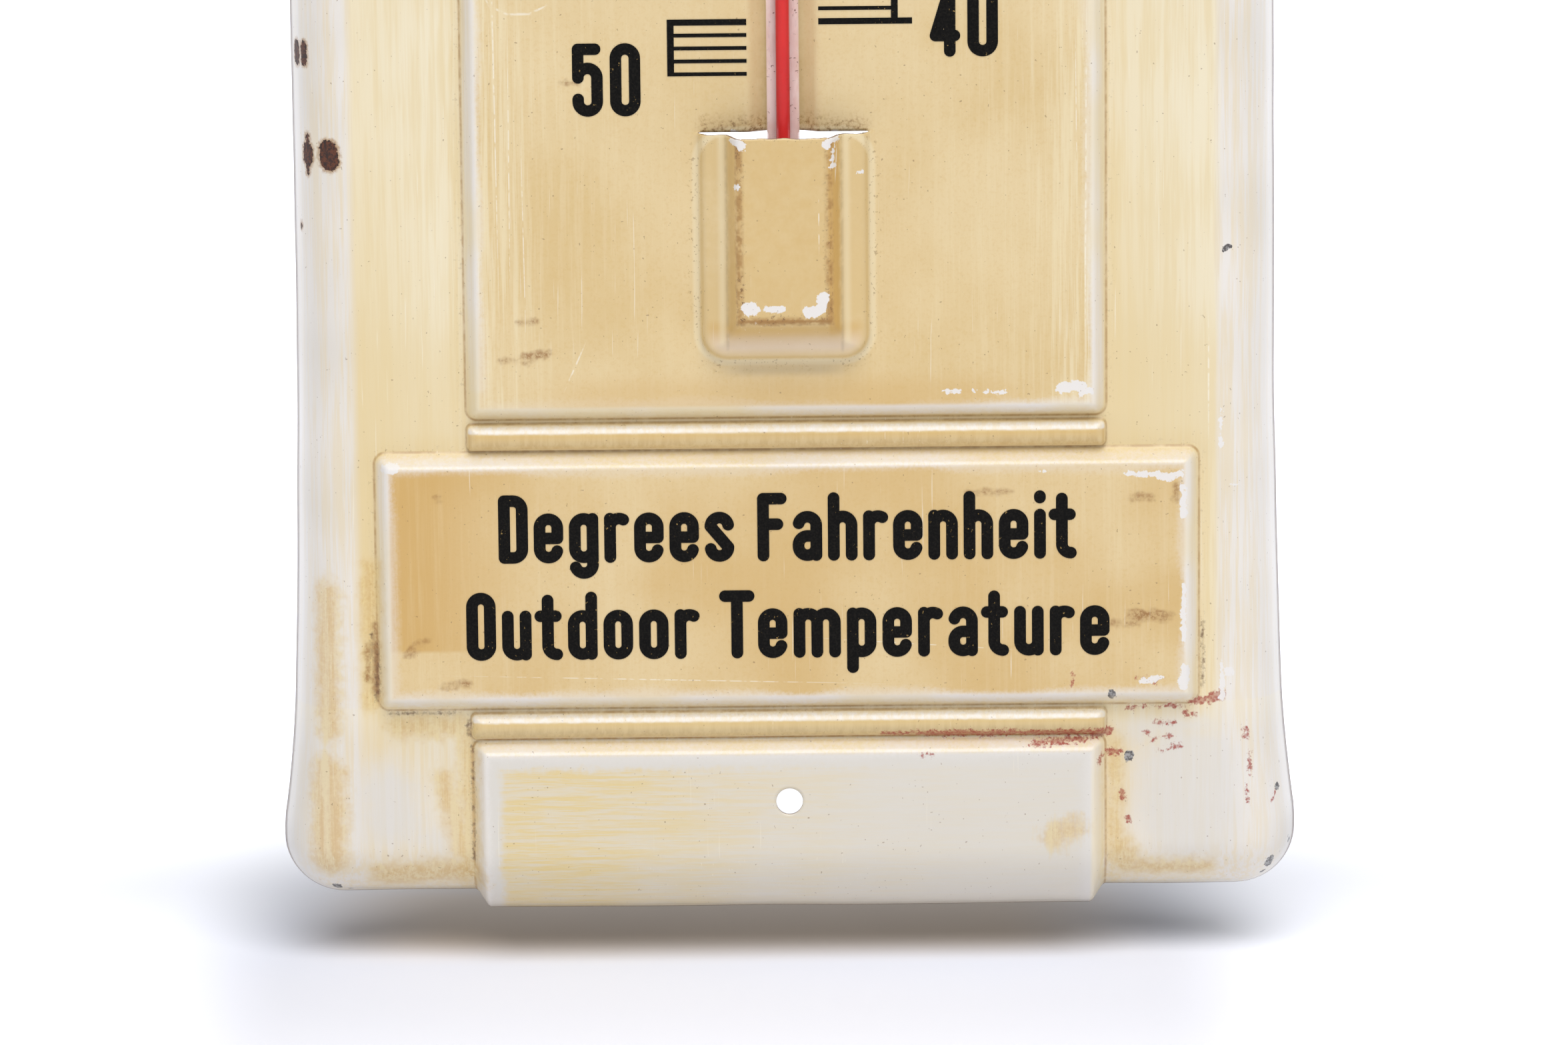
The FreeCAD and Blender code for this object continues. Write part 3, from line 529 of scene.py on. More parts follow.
FAR = 1e6                       # a scale that makes a coordinate vanish


class Shader:
    """A small helper that adds nodes to one material."""

    def __init__(self, name):
        self.material = bpy.data.materials.new(name)
        self.material.use_nodes = True
        self.tree = self.material.node_tree
        self.surface = self.tree.nodes["Principled BSDF"]

    def node(self, kind, inputs=(), **settings):
        n = self.tree.nodes.new(kind)
        for key, value in settings.items():
            setattr(n, key, value)
        for key, value in dict(inputs).items():
            self.plug(n.inputs[key], value)
        return n

    def plug(self, socket, value):
        if isinstance(value, bpy.types.NodeSocket):
            self.tree.links.new(value, socket)
        elif value is not None:
            socket.default_value = value

    def math(self, operation, a, b=None, clamp=False):
        n = self.node("ShaderNodeMath", operation=operation, use_clamp=clamp)
        for socket, value in zip(n.inputs, (a, b)):
            self.plug(socket, value)
        return n.outputs[0]

    def span(self, value, low, high, out_low=0.0, out_high=1.0):
        """value from low..high mapped smoothly to out_low..out_high, and held there outside."""
        n = self.node("ShaderNodeMapRange", interpolation_type="SMOOTHSTEP")
        keys = ("Value", "From Min", "From Max", "To Min", "To Max")
        for key, v in zip(keys, (value, low, high, out_low, out_high)):
            self.plug(n.inputs[key], v)
        return n.outputs[0]

    def fade(self, value, low, high):
        """1 where value is under low, falling smoothly to 0 at high."""
        return self.span(value, low, high, 1.0, 0.0)

    def mix(self, factor, a, b):
        n = self.node("ShaderNodeMix", data_type="RGBA", blend_type="MIX")
        self.plug(n.inputs[0], factor)
        self.plug(n.inputs[6], a)
        self.plug(n.inputs[7], b)
        return n.outputs[2]

    def attribute(self, name):
        return self.node("ShaderNodeAttribute", attribute_name=name).outputs["Fac"]

    def place(self, scale, offset):
        """Position on the object in millimetres, scaled and shifted."""
        where = self.node("ShaderNodeTexCoord").outputs["Object"]
        m = self.node("ShaderNodeMapping", vector_type="POINT")
        self.plug(m.inputs["Vector"], where)
        m.inputs["Scale"].default_value = [s / MM for s in scale]
        m.inputs["Location"].default_value = offset
        return m.outputs[0]

    def noise(self, size, detail=3.0, roughness=0.55, stretch=(1.0, 1.0, 1.0), seed=0.0):
        """Noise with features about size millimetres across."""
        where = self.place(tuple(s / size for s in stretch), (seed, seed * 1.7, seed * 0.6))
        settings = {"Vector": where, "Scale": 1.0, "Detail": detail, "Roughness": roughness}
        return self.node("ShaderNodeTexNoise", settings).outputs["Fac"]

    def scratches(self, x, z, lines):
        """Distance from the nearest fine line, 1 at its edge.

        Each line's point carries the last distance in y, where FAR makes it too small to count. That puts
        the lines in a chain, so that the shader holds one of them at a time.
        """
        nearest = 2.0
        for line_x, line_z, half_x, half_z, turn in lines:
            where = self.node("ShaderNodeCombineXYZ", {"X": x, "Y": nearest, "Z": z}).outputs[0]
            m = self.node("ShaderNodeMapping", {"Vector": where}, vector_type="TEXTURE")
            m.inputs["Location"].default_value = (line_x, 0.0, line_z)
            m.inputs["Rotation"].default_value = (0.0, math.radians(-turn), 0.0)
            m.inputs["Scale"].default_value = (half_x, FAR, half_z)
            away = self.node("ShaderNodeVectorMath", {0: m.outputs[0]}, operation="LENGTH").outputs["Value"]
            nearest = self.math("MINIMUM", nearest, away)
        return nearest

    def inside(self, distance, soft=0.2, edge=0.0):
        """1 where distance is under edge, with a border soft wide."""
        return self.fade(distance, edge - soft, edge + soft)

    def near(self, value, middle, inner, outer):
        """1 where value is within inner of middle, falling to 0 at outer."""
        return self.fade(self.math("ABSOLUTE", self.math("SUBTRACT", value, middle)), inner, outer)

    def both(self, a, b):
        return self.math("MULTIPLY", a, b)

    def ragged(self, value, by, how_far):
        """value moved up and down by a noise."""
        return self.math("ADD", value, self.math("MULTIPLY", self.math("SUBTRACT", by, 0.5), how_far))

    def layer(self, colour, mask, over, strength=1.0):
        """colour with another one laid over it where mask is 1."""
        return self.mix(self.math("MULTIPLY", mask, strength, clamp=True), colour, over)

    def set(self, **values):
        for key, value in values.items():
            self.plug(self.surface.inputs[key.replace("_", " ")], value)

    def bump(self, height, distance):
        n = self.node("ShaderNodeBump", {"Height": height, "Distance": distance * MM, "Strength": 1.0})
        self.plug(self.surface.inputs["Normal"], n.outputs[0])


WHITE_ENAMEL = rgb(231, 228, 226)
GREY_ENAMEL = rgb(217, 213, 208)
END_ENAMEL = rgb(215, 210, 201)
CREAM = rgb(234, 223, 194)
STREAK = rgb(222, 200, 150)
GOLD = rgb(222, 199, 152)
DEEP_GOLD = rgb(212, 184, 129)
DARK_GOLD = rgb(201, 160, 88)
PALE_GOLD = rgb(231, 216, 178)
AMBER = rgb(160, 116, 56)
YELLOW = rgb(221, 197, 134)
# pale rubbed enamel; on the ribs' crests it is also a painted highlight
PALE_WEAR_AND_HIGHLIGHT = rgb(229, 225, 221)
PALE_LINE = rgb(240, 233, 216)
PINKISH = rgb(226, 208, 194)
GRIME = rgb(122, 88, 54)
# painted shade: the grey laid on the ribs' undersides, in the pocket's creases and below the pocket
PAINTED_SHADE_GREY = rgb(160, 142, 112)
BROWN = rgb(92, 54, 24)
SMUDGE = rgb(138, 88, 30)
RED_BROWN = rgb(156, 52, 38)
DARK_RUST = rgb(46, 27, 20)
RUST = rgb(94, 50, 27)
DARK_STEEL = rgb(84, 80, 78)
STEEL = rgb(158, 156, 154)

# Where the enamel's colours change, millimetres up the sheet.
AT_END = (160.0, 162.0)         # from the middle, either way: past it the raised panels are white
CAPTION_FROM = (-160.0, -159.0)
CAPTION_TO = (-117.0, -116.0)
SLIT = (POCKET_TOP, POCKET_TOP + 0.1)


class Enamel(Shader):
    """The panel's enamel: what its colours depend on, and the colour so far."""

    def __init__(self):
        super().__init__("aged_enamel")
        for name in ("foot", "rib", "rib_up", "uphill", "pocket", "pocket_side", "pocket_foot", "cloud"):
            setattr(self, name, self.attribute(name))
        self.x = self.attribute("unrolled_x")
        self.z = self.attribute("unrolled_z")
        self.sideways = self.math("ABSOLUTE", self.x)
        self.from_middle = self.math("ABSOLUTE", self.z)
        self.fine = self.noise(0.55, 2, 0.75, seed=11.0)
        self.grain = self.noise(1.7, 2, 0.7, seed=13.0)
        self.fibres = self.noise(0.9, 3, 0.7, (1.0, 1.0, 0.035), 2.0)
        self.brush = self.noise(0.42, 3, 0.75, (0.05, 1.0, 1.0), 5.0)
        self.colour = None

    def coat(self, mask, over, strength=1.0):
        """Lays a colour over the enamel where mask is 1."""
        self.colour = self.layer(self.colour, mask, over, strength)


def paint_field(s):
    """Bare white enamel, yellowed toward the middle of the sheet in brushed streaks."""
    s.colour = s.mix(s.span(s.cloud, 0.0, 1.0), WHITE_ENAMEL, GREY_ENAMEL)
    faint = s.span(s.ragged(s.sideways, s.fibres, 9.0), 66.0, 84.0, 0.55, 0.0)
    s.coat(s.both(faint, s.span(s.fibres, 0.40, 0.62, 0.3, 1.0)), STREAK)
    yellowed = s.fade(s.ragged(s.sideways, s.fibres, 2.6), 63.3, 64.9)
    yellowed = s.both(yellowed, s.span(s.from_middle, 146.0, 178.0, 1.0, 0.3))
    cream = s.mix(s.span(s.ragged(s.fibres, s.cloud, 0.3), 0.36, 0.70, 0.0, 0.55), CREAM, STREAK)
    across_field = s.math("SUBTRACT", s.x, s.math("MULTIPLY", s.math("SIGN", s.x), 57.0))
    deeper = s.both(s.span(across_field, -7.0, 7.0, 1.0, 0.35), s.span(s.z, -125.0, -60.0, 1.0, 0.35))
    cream = s.layer(cream, deeper, STREAK, 0.95)
    cream = s.layer(cream, s.near(s.z, -111.0, 4.0, 16.0), STREAK, 0.55)
    s.coat(yellowed, cream, 0.95)
    paled = s.inside(s.ragged(s.attribute("paled"), s.grain, 3.0), 3.2)
    s.coat(paled, s.mix(s.span(s.fibres, 0.3, 0.7, 0.2, 0.8), GREY_ENAMEL, END_ENAMEL), 0.8)


def aged_gold(s):
    """Mottled and streaked gold, darker on the caption, paler at the dial's low corners, with painted shade
    toward the dial's lower edge.
    """
    gold = s.mix(s.span(s.ragged(s.cloud, s.grain, 0.4), 0.0, 1.1), GOLD, DEEP_GOLD)
    gold = s.layer(gold, s.span(s.fine, 0.48, 0.70), DARK_GOLD, 0.16)
    streaked = s.both(s.span(s.fibres, 0.45, 0.68), s.span(s.sideways, 8.0, 42.0, 0.3, 1.0))
    gold = s.layer(gold, streaked, PALE_GOLD, 0.25)
    left_third = s.both(s.fade(s.x, -56.0, -36.0), s.span(s.z, -148.4, -147.6))
    left_third = s.both(left_third, s.fade(s.z, -122.0, -118.0))
    gold = s.layer(gold, s.both(left_third, s.span(s.fibres, 0.3, 0.6, 0.6, 1.0)), DARK_GOLD, 0.85)
    in_caption = s.both(s.span(s.z, *CAPTION_FROM), s.fade(s.z, *CAPTION_TO))
    gold = s.layer(gold, in_caption, DARK_GOLD, s.span(s.cloud, 0.1, 0.9, 0.12, 0.42))
    dial_rim = s.both(s.span(s.sideways, 33.0, 46.0), s.span(s.z, -116.0, -112.0))
    gold = s.layer(gold, s.both(dial_rim, s.span(s.fibres, 0.35, 0.65)), PALE_GOLD, 0.7)
    # painted shade: the middle of the dial darker gold toward its lower edge
    dial_foot_shade = s.both(s.near(s.z, -110.5, 1.5, 5.5), s.fade(s.sideways, 24.0, 44.0))
    return s.layer(gold, dial_foot_shade, DARK_GOLD, 0.36)


def paint_panels(s):
    """The golden dial and caption, and the white end panels with what is left of their gold."""
    gold = aged_gold(s)
    on_panel = s.span(s.foot, 1.5, 2.3)
    at_end = s.span(s.from_middle, *AT_END)
    s.coat(s.both(on_panel, s.math("SUBTRACT", 1.0, at_end)), gold)
    on_end = s.both(on_panel, at_end)
    inside_frame = s.span(s.ragged(s.foot, s.grain, 2.4), 3.4, 5.2)
    smeared = s.both(inside_frame, s.span(s.brush, 0.36, 0.64, 0.36, 0.95))
    smeared = s.both(smeared, s.span(s.ragged(s.x, s.cloud, 36.0), -44.0, 30.0, 0.95, 0.12))
    s.coat(on_end, s.mix(smeared, END_ENAMEL, YELLOW))


def paint_ribs(s):
    """Gold ribs with a crest rubbed pale and lit by a painted highlight, painted shade on the underside, and
    cream field beyond the lowest one's ends.
    """
    beside_rib = s.both(s.span(s.z, -163.5, -157.5), s.fade(s.z, -157.5, -157.0))
    s.coat(s.both(beside_rib, s.span(s.sideways, 46.0, 60.0, 1.0, 0.3)), CREAM, 0.8)
    on_rib = s.span(s.rib, 0.1, 0.5)
    # painted highlight: the upper half of each rib paler, partly rubbed paint
    rib_wear_and_painted_light = s.mix(s.span(s.ragged(s.rib_up, s.grain, 0.4), 0.5, 0.9), DEEP_GOLD, PALE_WEAR_AND_HIGHLIGHT)
    # painted shade: the lower side of each rib greyer
    rib_wear_and_painted_light = s.layer(rib_wear_and_painted_light, s.fade(s.rib_up, -0.9, 0.6), PAINTED_SHADE_GREY, 0.32)
    # painted shade: the ribs beside the dial darker gold on their lower part
    dial_rib_underside_shade = s.both(s.fade(s.rib_up, 0.3, 1.0), s.fade(s.from_middle, 125.0, 130.0))
    rib_wear_and_painted_light = s.layer(rib_wear_and_painted_light, dial_rib_underside_shade, DARK_GOLD, 0.35)
    s.coat(on_rib, rib_wear_and_painted_light)


def paint_slopes(s):
    """Slopes rubbed pale, most of all at the crest, with grime in the angle at the foot."""
    slope = s.both(s.span(s.foot, 0.1, 0.5), s.fade(s.foot, 1.8, 2.5))
    s.coat(slope, s.mix(s.span(s.cloud, 0.2, 0.8), PALE_GOLD, PALE_WEAR_AND_HIGHLIGHT), 0.7)
    upper_slope = s.both(slope, s.span(s.uphill, 0.5, 0.9))
    s.coat(upper_slope, s.mix(s.span(s.fine, 0.40, 0.65), PINKISH, YELLOW), 0.6)
    crest = s.ragged(s.ragged(s.foot, s.fine, 1.2), s.cloud, 2.4)
    rubbed = s.both(s.span(s.foot, 0.3, 0.9), s.fade(crest, 1.7, 3.6))
    rubbed = s.both(rubbed, s.span(s.uphill, -0.9, 0.9, 1.0, 0.7))
    dial_foot = s.both(s.near(s.z, -112.0, 2.6, 4.2), s.fade(s.x, 20.0, 38.0))
    rubbed = s.both(rubbed, s.span(dial_foot, 0.0, 1.0, 1.0, 0.35))
    s.coat(rubbed, PALE_WEAR_AND_HIGHLIGHT, s.span(s.cloud, 0.20, 0.7, 0.30, 0.9))
    tinged = s.both(s.near(s.foot, -0.6, 0.6, 3.0), s.span(s.fibres, 0.35, 0.65, 0.3, 1.0))
    s.coat(tinged, STREAK, 0.6)
    s.coat(s.near(s.foot, -0.08, 0.05, 0.28), AMBER, s.span(s.grain, 0.3, 0.65, 0.30, 0.65))
    speckled = s.both(s.near(s.foot, -0.4, 0.2, 1.2), s.span(s.fine, 0.60, 0.68))
    s.coat(speckled, GRIME, 0.2)
    s.coat(s.near(s.rib, 0.02, 0.05, 0.24), AMBER, s.span(s.grain, 0.3, 0.65, 0.25, 0.60))


def paint_pocket(s):
    """Pale foot line, ledges pale toward the crease, partly rubbed paint and partly painted highlight,
    painted shade in the crease and on the chin below the face, and a golden face with brown grime along its
    edges.
    """
    lanced = s.fade(s.z, *SLIT)
    ledges = s.mix(s.span(s.ragged(s.cloud, s.grain, 0.6), -0.2, 0.6), GOLD, DEEP_GOLD)
    s.coat(s.both(s.span(s.pocket_foot, 0.1, 0.5), lanced), ledges)
    s.coat(s.near(s.pocket_foot, -0.35, 0.2, 0.8), PALE_GOLD, 0.55)
    face = s.both(s.span(s.pocket, 0.90, 1.0), lanced)
    s.coat(face, s.mix(s.span(s.grain, 0.2, 0.9, 0.05, 0.45), DEEP_GOLD, DARK_GOLD), 0.75)
    pocket_up = s.math("DIVIDE", s.math("SUBTRACT", s.z, POCKET_FOOT), POCKET_SLOPE_LOW)
    # painted shade: the chin darker gold just below the face, pinkish toward its foot
    chin = s.both(s.span(s.pocket_foot, 0.4, 2.4), s.fade(pocket_up, 0.75, 1.0))
    s.coat(chin, s.mix(s.span(pocket_up, 0.3, 0.8), PINKISH, DARK_GOLD), 0.5)
    # painted highlight on each ledge next to the crease, partly rubbed paint
    s.coat(s.near(s.pocket_side, 0.56, 0.0, 0.15), PALE_GOLD, s.span(s.pocket, 0.2, 0.5, 0.0, 0.45))
    # painted shade: a grey line along each crease
    crease = s.span(s.grain, 0.3, 0.6, 0.05, 0.30)
    s.coat(s.both(s.near(s.pocket_side, 0.68, 0.0, 0.07), s.span(s.pocket, 0.1, 0.3)), PAINTED_SHADE_GREY, crease)
    flank = s.near(s.ragged(s.pocket_side, s.grain, 0.10), 0.86, 0.08, 0.18)
    s.coat(s.both(flank, s.span(pocket_up, 0.5, 0.9)), DARK_GOLD, s.span(s.x, -6.0, 6.0, 0.40, 0.9))
    brim = s.near(s.ragged(s.pocket, s.grain, 0.14), 0.99, 0.03, 0.14)
    brim = s.both(brim, s.span(s.grain, 0.38, 0.60, 0.25, 1.0))
    s.coat(s.both(brim, lanced), AMBER, 0.75)
    flecks = s.both(s.near(s.ragged(s.pocket, s.grain, 0.12), 1.02, 0.03, 0.17), s.span(s.fine, 0.57, 0.63))
    s.coat(s.both(flecks, lanced), BROWN, s.span(s.cloud, 0.3, 0.75, 0.15, 0.8))
    low_edge = s.near(s.ragged(pocket_up, s.fine, 0.06), 0.985, 0.01, 0.05)
    s.coat(s.both(low_edge, s.fade(s.sideways, 6.6, 7.2)), AMBER, 0.8)


def paint_round_pocket(s):
    """A painted shadow below the pocket, and grime about it, over its open lip and along the tube."""
    # painted shadow of the pocket on the sheet just below its foot
    painted_shadow_below_pocket = s.both(s.near(s.pocket_foot, -1.3, 0.3, 1.7), s.fade(s.z, -105.6, -104.0))
    s.coat(s.both(painted_shadow_below_pocket, s.fade(s.sideways, 5.0, 11.0)), PAINTED_SHADE_GREY, 0.45)
    grit = s.near(s.ragged(s.pocket_foot, s.grain, 3.0), -0.5, 0.2, 1.6)
    s.coat(s.both(grit, s.span(s.fine, 0.625, 0.66)), GRIME, 0.45)
    over_lip = s.both(s.span(s.z, *SLIT), s.fade(s.ragged(s.z, s.grain, 2.4), -69.2, -66.4))
    over_lip = s.both(over_lip, s.fade(s.sideways, 11.5, 13.5))
    s.coat(over_lip, AMBER, s.span(s.fine, 0.40, 0.6, 0.05, 0.45))
    s.coat(s.both(over_lip, s.span(s.fine, 0.60, 0.66)), BROWN, 0.4)
    by_tube = s.both(s.fade(s.sideways, 2.6, 4.8), s.span(s.z, POCKET_TOP, -69.0))
    by_tube = s.both(by_tube, s.fade(s.z, -20.0, 60.0))
    by_tube = s.both(by_tube, s.span(s.ragged(s.cloud, s.grain, 0.5), 0.2, 0.9, 0.2, 1.0))
    s.coat(by_tube, AMBER, s.span(s.x, -3.0, 3.0, 0.5, 0.3))


def paint_marks(s):
    """Marks left by use. Returns where the surface is no longer glossy."""
    washed = s.inside(s.ragged(s.ragged(s.attribute("washed"), s.fibres, 3.6), s.grain, 3.6), 1.4, 0.3)
    s.coat(washed, s.mix(s.span(s.ragged(s.fibres, s.fine, 0.5), 0.3, 0.7), YELLOW, DARK_GOLD), 0.62)
    browned = s.inside(s.ragged(s.attribute("browned"), s.fine, 1.6), 0.35)
    s.coat(browned, BROWN, s.span(s.grain, 0.3, 0.6, 0.35, 0.85))
    smudged = s.inside(s.ragged(s.ragged(s.attribute("smudged"), s.grain, 1.8), s.fine, 0.8), 0.5)
    smudged = s.both(smudged, s.span(s.fine, 0.35, 0.62, 0.35, 1.0))
    s.coat(smudged, SMUDGE, 0.8)
    stained = s.inside(s.ragged(s.ragged(s.attribute("stained"), s.fine, 1.7), s.grain, 1.2), 0.22, 0.05)
    s.coat(stained, RED_BROWN, s.span(s.fine, 0.35, 0.6, 0.9, 0.55))
    worn = s.inside(s.ragged(s.ragged(s.attribute("worn"), s.grain, 1.6), s.fine, 0.9), 0.06)
    s.coat(worn, PALE_WEAR_AND_HIGHLIGHT, 0.95)
    scratch = s.inside(s.scratches(s.x, s.z, SCRATCHES), 0.5, 1.0)
    s.coat(s.both(scratch, s.span(s.grain, 0.4, 0.55)), PALE_LINE, 0.6)
    hairs = s.span(s.noise(0.32, 2, 0.5, (1.0, 1.0, 0.02), 41.0), 0.68, 0.74)
    s.coat(s.both(hairs, s.span(s.cloud, 0.45, 0.6)), PALE_LINE, 0.35)
    specks = s.span(s.noise(0.5, 1, 0.5, seed=21.0), 0.752, 0.785)
    s.coat(specks, GRIME, 0.5)
    rust_edge = s.ragged(s.attribute("rusted"), s.fine, 1.1)
    s.coat(s.inside(rust_edge, 0.35, 0.35), AMBER, 0.7)
    rust = s.inside(rust_edge, 0.06)
    s.coat(rust, s.mix(s.span(s.fine, 0.4, 0.6), DARK_RUST, RUST))
    bare = s.inside(s.ragged(s.attribute("bared"), s.fine, 1.0), 0.06)
    s.coat(bare, s.mix(s.span(s.fine, 0.4, 0.6), DARK_STEEL, STEEL))
    cut_edge = s.near(s.attribute("to_rim"), 0.0, 0.5, 1.6)
    s.coat(cut_edge, s.mix(s.span(s.grain, 0.4, 0.6), GRIME, RUST), 0.8)
    return s.math("MAXIMUM", rust, worn)


def enamel():
    s = Enamel()
    paint_field(s)
    paint_panels(s)
    paint_ribs(s)
    paint_slopes(s)
    paint_pocket(s)
    paint_round_pocket(s)
    dull = paint_marks(s)
    s.set(Base_Color=s.colour, Roughness=s.span(dull, 0.0, 1.0, 0.28, 0.6))
    s.surface.inputs["IOR"].default_value = 1.5
    s.bump(s.noise(1.8, 1, 0.5, seed=31.0), 0.03)
    return s.material


def bare_tin():
    s = Shader("bare_tin_back")
    stain = s.noise(18.0, 6, 0.65, seed=5.0)
    colour = s.mix(s.span(stain, 0.36, 0.78), rgb(150, 146, 138), rgb(116, 98, 80))
    s.set(Base_Color=colour, Metallic=0.75, Roughness=s.span(stain, 0.3, 0.7, 0.38, 0.62))
    s.bump(s.noise(1.5, 4, 0.6, seed=3.0), 0.04)
    return s.material


def raw_edge():
    s = Shader("rusted_cut_edge")
    rust = s.noise(1.4, 5, 0.6, seed=9.0)
    colour = s.mix(s.span(rust, 0.35, 0.65), rgb(176, 150, 122), rgb(92, 56, 34))
    s.set(Base_Color=colour, Roughness=0.75, Metallic=0.2)
    s.bump(rust, 0.05)
    return s.material


def black_ink():
    s = Shader("black_ink")
    wear = s.noise(0.45, 3, 0.6, seed=2.0)
    pinpricks = s.both(s.span(wear, 0.66, 0.72), s.span(s.noise(4.0, 2, seed=3.0), 0.45, 0.6))
    body = s.mix(s.span(s.noise(0.3, 2, seed=5.0), 0.4, 0.7), rgb(13, 12, 11), rgb(26, 24, 21))
    gloss = s.span(s.noise(3.0, 3, seed=8.0), 0.3, 0.7, 0.35, 0.5)
    s.set(Base_Color=s.mix(pinpricks, body, rgb(170, 140, 84)), Roughness=gloss)
    s.surface.inputs["Specular IOR Level"].default_value = 0.08
    s.bump(s.noise(0.6, 3, seed=6.0), 0.01)
    return s.material


def tube_glass():
    s = Shader("tube_glass")
    dust = s.span(s.noise(0.9, 5, 0.7, seed=14.0), 0.6, 0.75)
    colour = s.mix(dust, rgb(255, 252, 250), rgb(225, 205, 190))
    s.set(Base_Color=colour, Roughness=s.span(dust, 0, 1, 0.03, 0.2))
    s.surface.inputs["Transmission Weight"].default_value = 1.0
    s.surface.inputs["IOR"].default_value = 1.5
    return s.material


def opal():
    s = Shader("opal_backing")
    mottle = s.noise(1.6, 3, 0.6, (1, 1, 0.25), seed=12.0)
    dirt = s.span(s.noise(0.5, 2, 0.6, seed=15.0), 0.66, 0.72)
    # milky backing with a pink tint, partly painted reflection of the red spirit
    milk_and_red_reflection = s.mix(s.span(mottle, 0.35, 0.65), rgb(232, 216, 212), rgb(220, 194, 188))
    s.set(Base_Color=s.mix(dirt, milk_and_red_reflection, rgb(120, 84, 74)), Roughness=0.5)
    return s.material


def spirit():
    s = Shader("red_spirit")
    fade = s.noise(2.0, 3, 0.6, (1, 1, 0.2), seed=17.0)
    s.set(Base_Color=s.mix(s.span(fade, 0.35, 0.65), rgb(207, 22, 18), rgb(199, 14, 14)), Roughness=0.3)
    return s.material


def strap_steel():
    s = Shader("strap_steel")
    rust = s.span(s.noise(1.2, 5, 0.65, seed=19.0), 0.5, 0.68)
    s.set(Base_Color=s.mix(rust, rgb(168, 164, 156), rgb(116, 78, 52)),
          Metallic=s.span(rust, 0, 1, 1.0, 0.2), Roughness=s.span(rust, 0, 1, 0.35, 0.75))
    s.bump(s.noise(0.4, 4, seed=23.0), 0.02)
    return s.material


# ---------------- turned and drawn pieces
def finished(name, mesh, material, smooth_faces=True):
    data = bpy.data.meshes.new(name)
    mesh.to_mesh(data)
    mesh.free()
    if smooth_faces:
        data.shade_smooth()
    data.materials.append(material)
    piece = bpy.data.objects.new(name, data)
    bpy.context.collection.objects.link(piece)
    return piece


def skin(mesh, rings, segments):
    """Faces between neighbouring rings of vertices, with triangles where a ring is a single point."""
    for low, high in zip(rings, rings[1:]):
        for k in range(segments):
            j = (k + 1) % segments
            corners = list(dict.fromkeys((low[k], low[j], high[j], high[k])))
            if len(corners) >= 3:
                mesh.faces.new(corners)


def turned(name, profile, material, segments):
    """A piece turned about the tube's axis from (radius, z) points."""
    mesh = bmesh.new()
    angles = [math.radians(360.0 * k / segments) for k in range(segments)]
    rings = []
    for r, z in profile:
        if r == 0.0:
            rings.append([mesh.verts.new((0.0, TUBE_Y * MM, z * MM))] * segments)
        else:
            places = [(r * math.sin(a) * MM, (TUBE_Y - r * math.cos(a)) * MM, z * MM) for a in angles]
            rings.append([mesh.verts.new(place) for place in places])
    skin(mesh, rings, segments)
    bmesh.ops.recalc_face_normals(mesh, faces=mesh.faces)
    return finished(name, mesh, material)


def half_round_bar(name, radius, front, heights, material, steps=20):
    """A bar behind the tube's axis: flat toward the reader at y = front from the axis, round at the back."""
    half = math.acos(front / radius)
    section = [(radius * math.sin(a), radius * math.cos(a)) for a in np.linspace(-half, half, steps)]
    mesh = bmesh.new()
    rings = [[mesh.verts.new((x * MM, (TUBE_Y + y) * MM, z * MM)) for x, y in section] for z in heights]
    skin(mesh, rings, steps)
    mesh.faces.new(rings[0])
    mesh.faces.new(rings[-1])
    bmesh.ops.recalc_face_normals(mesh, faces=mesh.faces)
    return finished(name, mesh, material, smooth_faces=False)


def round_end(radius, centre_z, up, steps=10):
    """(radius, z) points of a hemispherical end, from its pole if up is -1 or to its pole if 1."""
    angles = [math.pi / 2 * k / steps for k in range(steps + 1)]
    points = [(radius * math.cos(a), centre_z + up * radius * math.sin(a)) for a in angles]
    points[-1] = (0.0, points[-1][1])
    return points if up > 0 else points[::-1]


def rod(radius, low, high, end=0.3):
    """(radius, z) points of a rod; a ring close to each end keeps its shading off the long side."""
    heights = (low, low + end, high - end, high)
    return [(0.0, low), *[(radius, z) for z in heights], (0.0, high)]


def repaint(node, material):
    """Gives one of the CAD model's own pieces a material."""
    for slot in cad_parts[node].material_slots:
        slot.link = "OBJECT"
        slot.material = material


# ---------------- build
panel = build_panel()
for make in (enamel, bare_tin, raw_edge):
    panel.data.materials.append(make())
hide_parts("panel")
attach(panel, BODY)

bulb = [*round_end(BULB_RADIUS, BULB_LOW, -1), *BULB_NECK]
tube = [(TUBE_RADIUS, 0.0), *round_end(TUBE_RADIUS, TUBE_TOP, 1)]
glass = turned("tube_glass", bulb + tube, tube_glass(), 64)
glass.visible_shadow = False
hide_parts("glass_tube")
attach(glass, BODY)

backing = half_round_bar("opal_backing", OPAL_RADIUS, OPAL_FRONT, OPAL_ZS, opal())
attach(backing, BODY)

red = spirit()
rest_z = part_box("spirit_meniscus")[0][2] / MM
low_z = -98.0                   # well inside the bulb
thread = turned("spirit_thread", rod(LOWER_THREAD_RADIUS, low_z, rest_z), red, 32)
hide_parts("spirit_column")
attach(thread, BODY)
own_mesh(thread)
upper = turned("spirit_thread_upper", rod(UPPER_THREAD_RADIUS, low_z, rest_z + THREAD_OVERLAP), red, 32)
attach(upper, LEVEL_BODY)
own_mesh(upper)

repaint("spirit_meniscus", red)
repaint("spirit_reservoir", red)
repaint("tube_strap", strap_steel())
ink = black_ink()
for node in ("scale_print_left", "scale_print_right", "numerals_print", "caption_print"):
    repaint(node, ink)

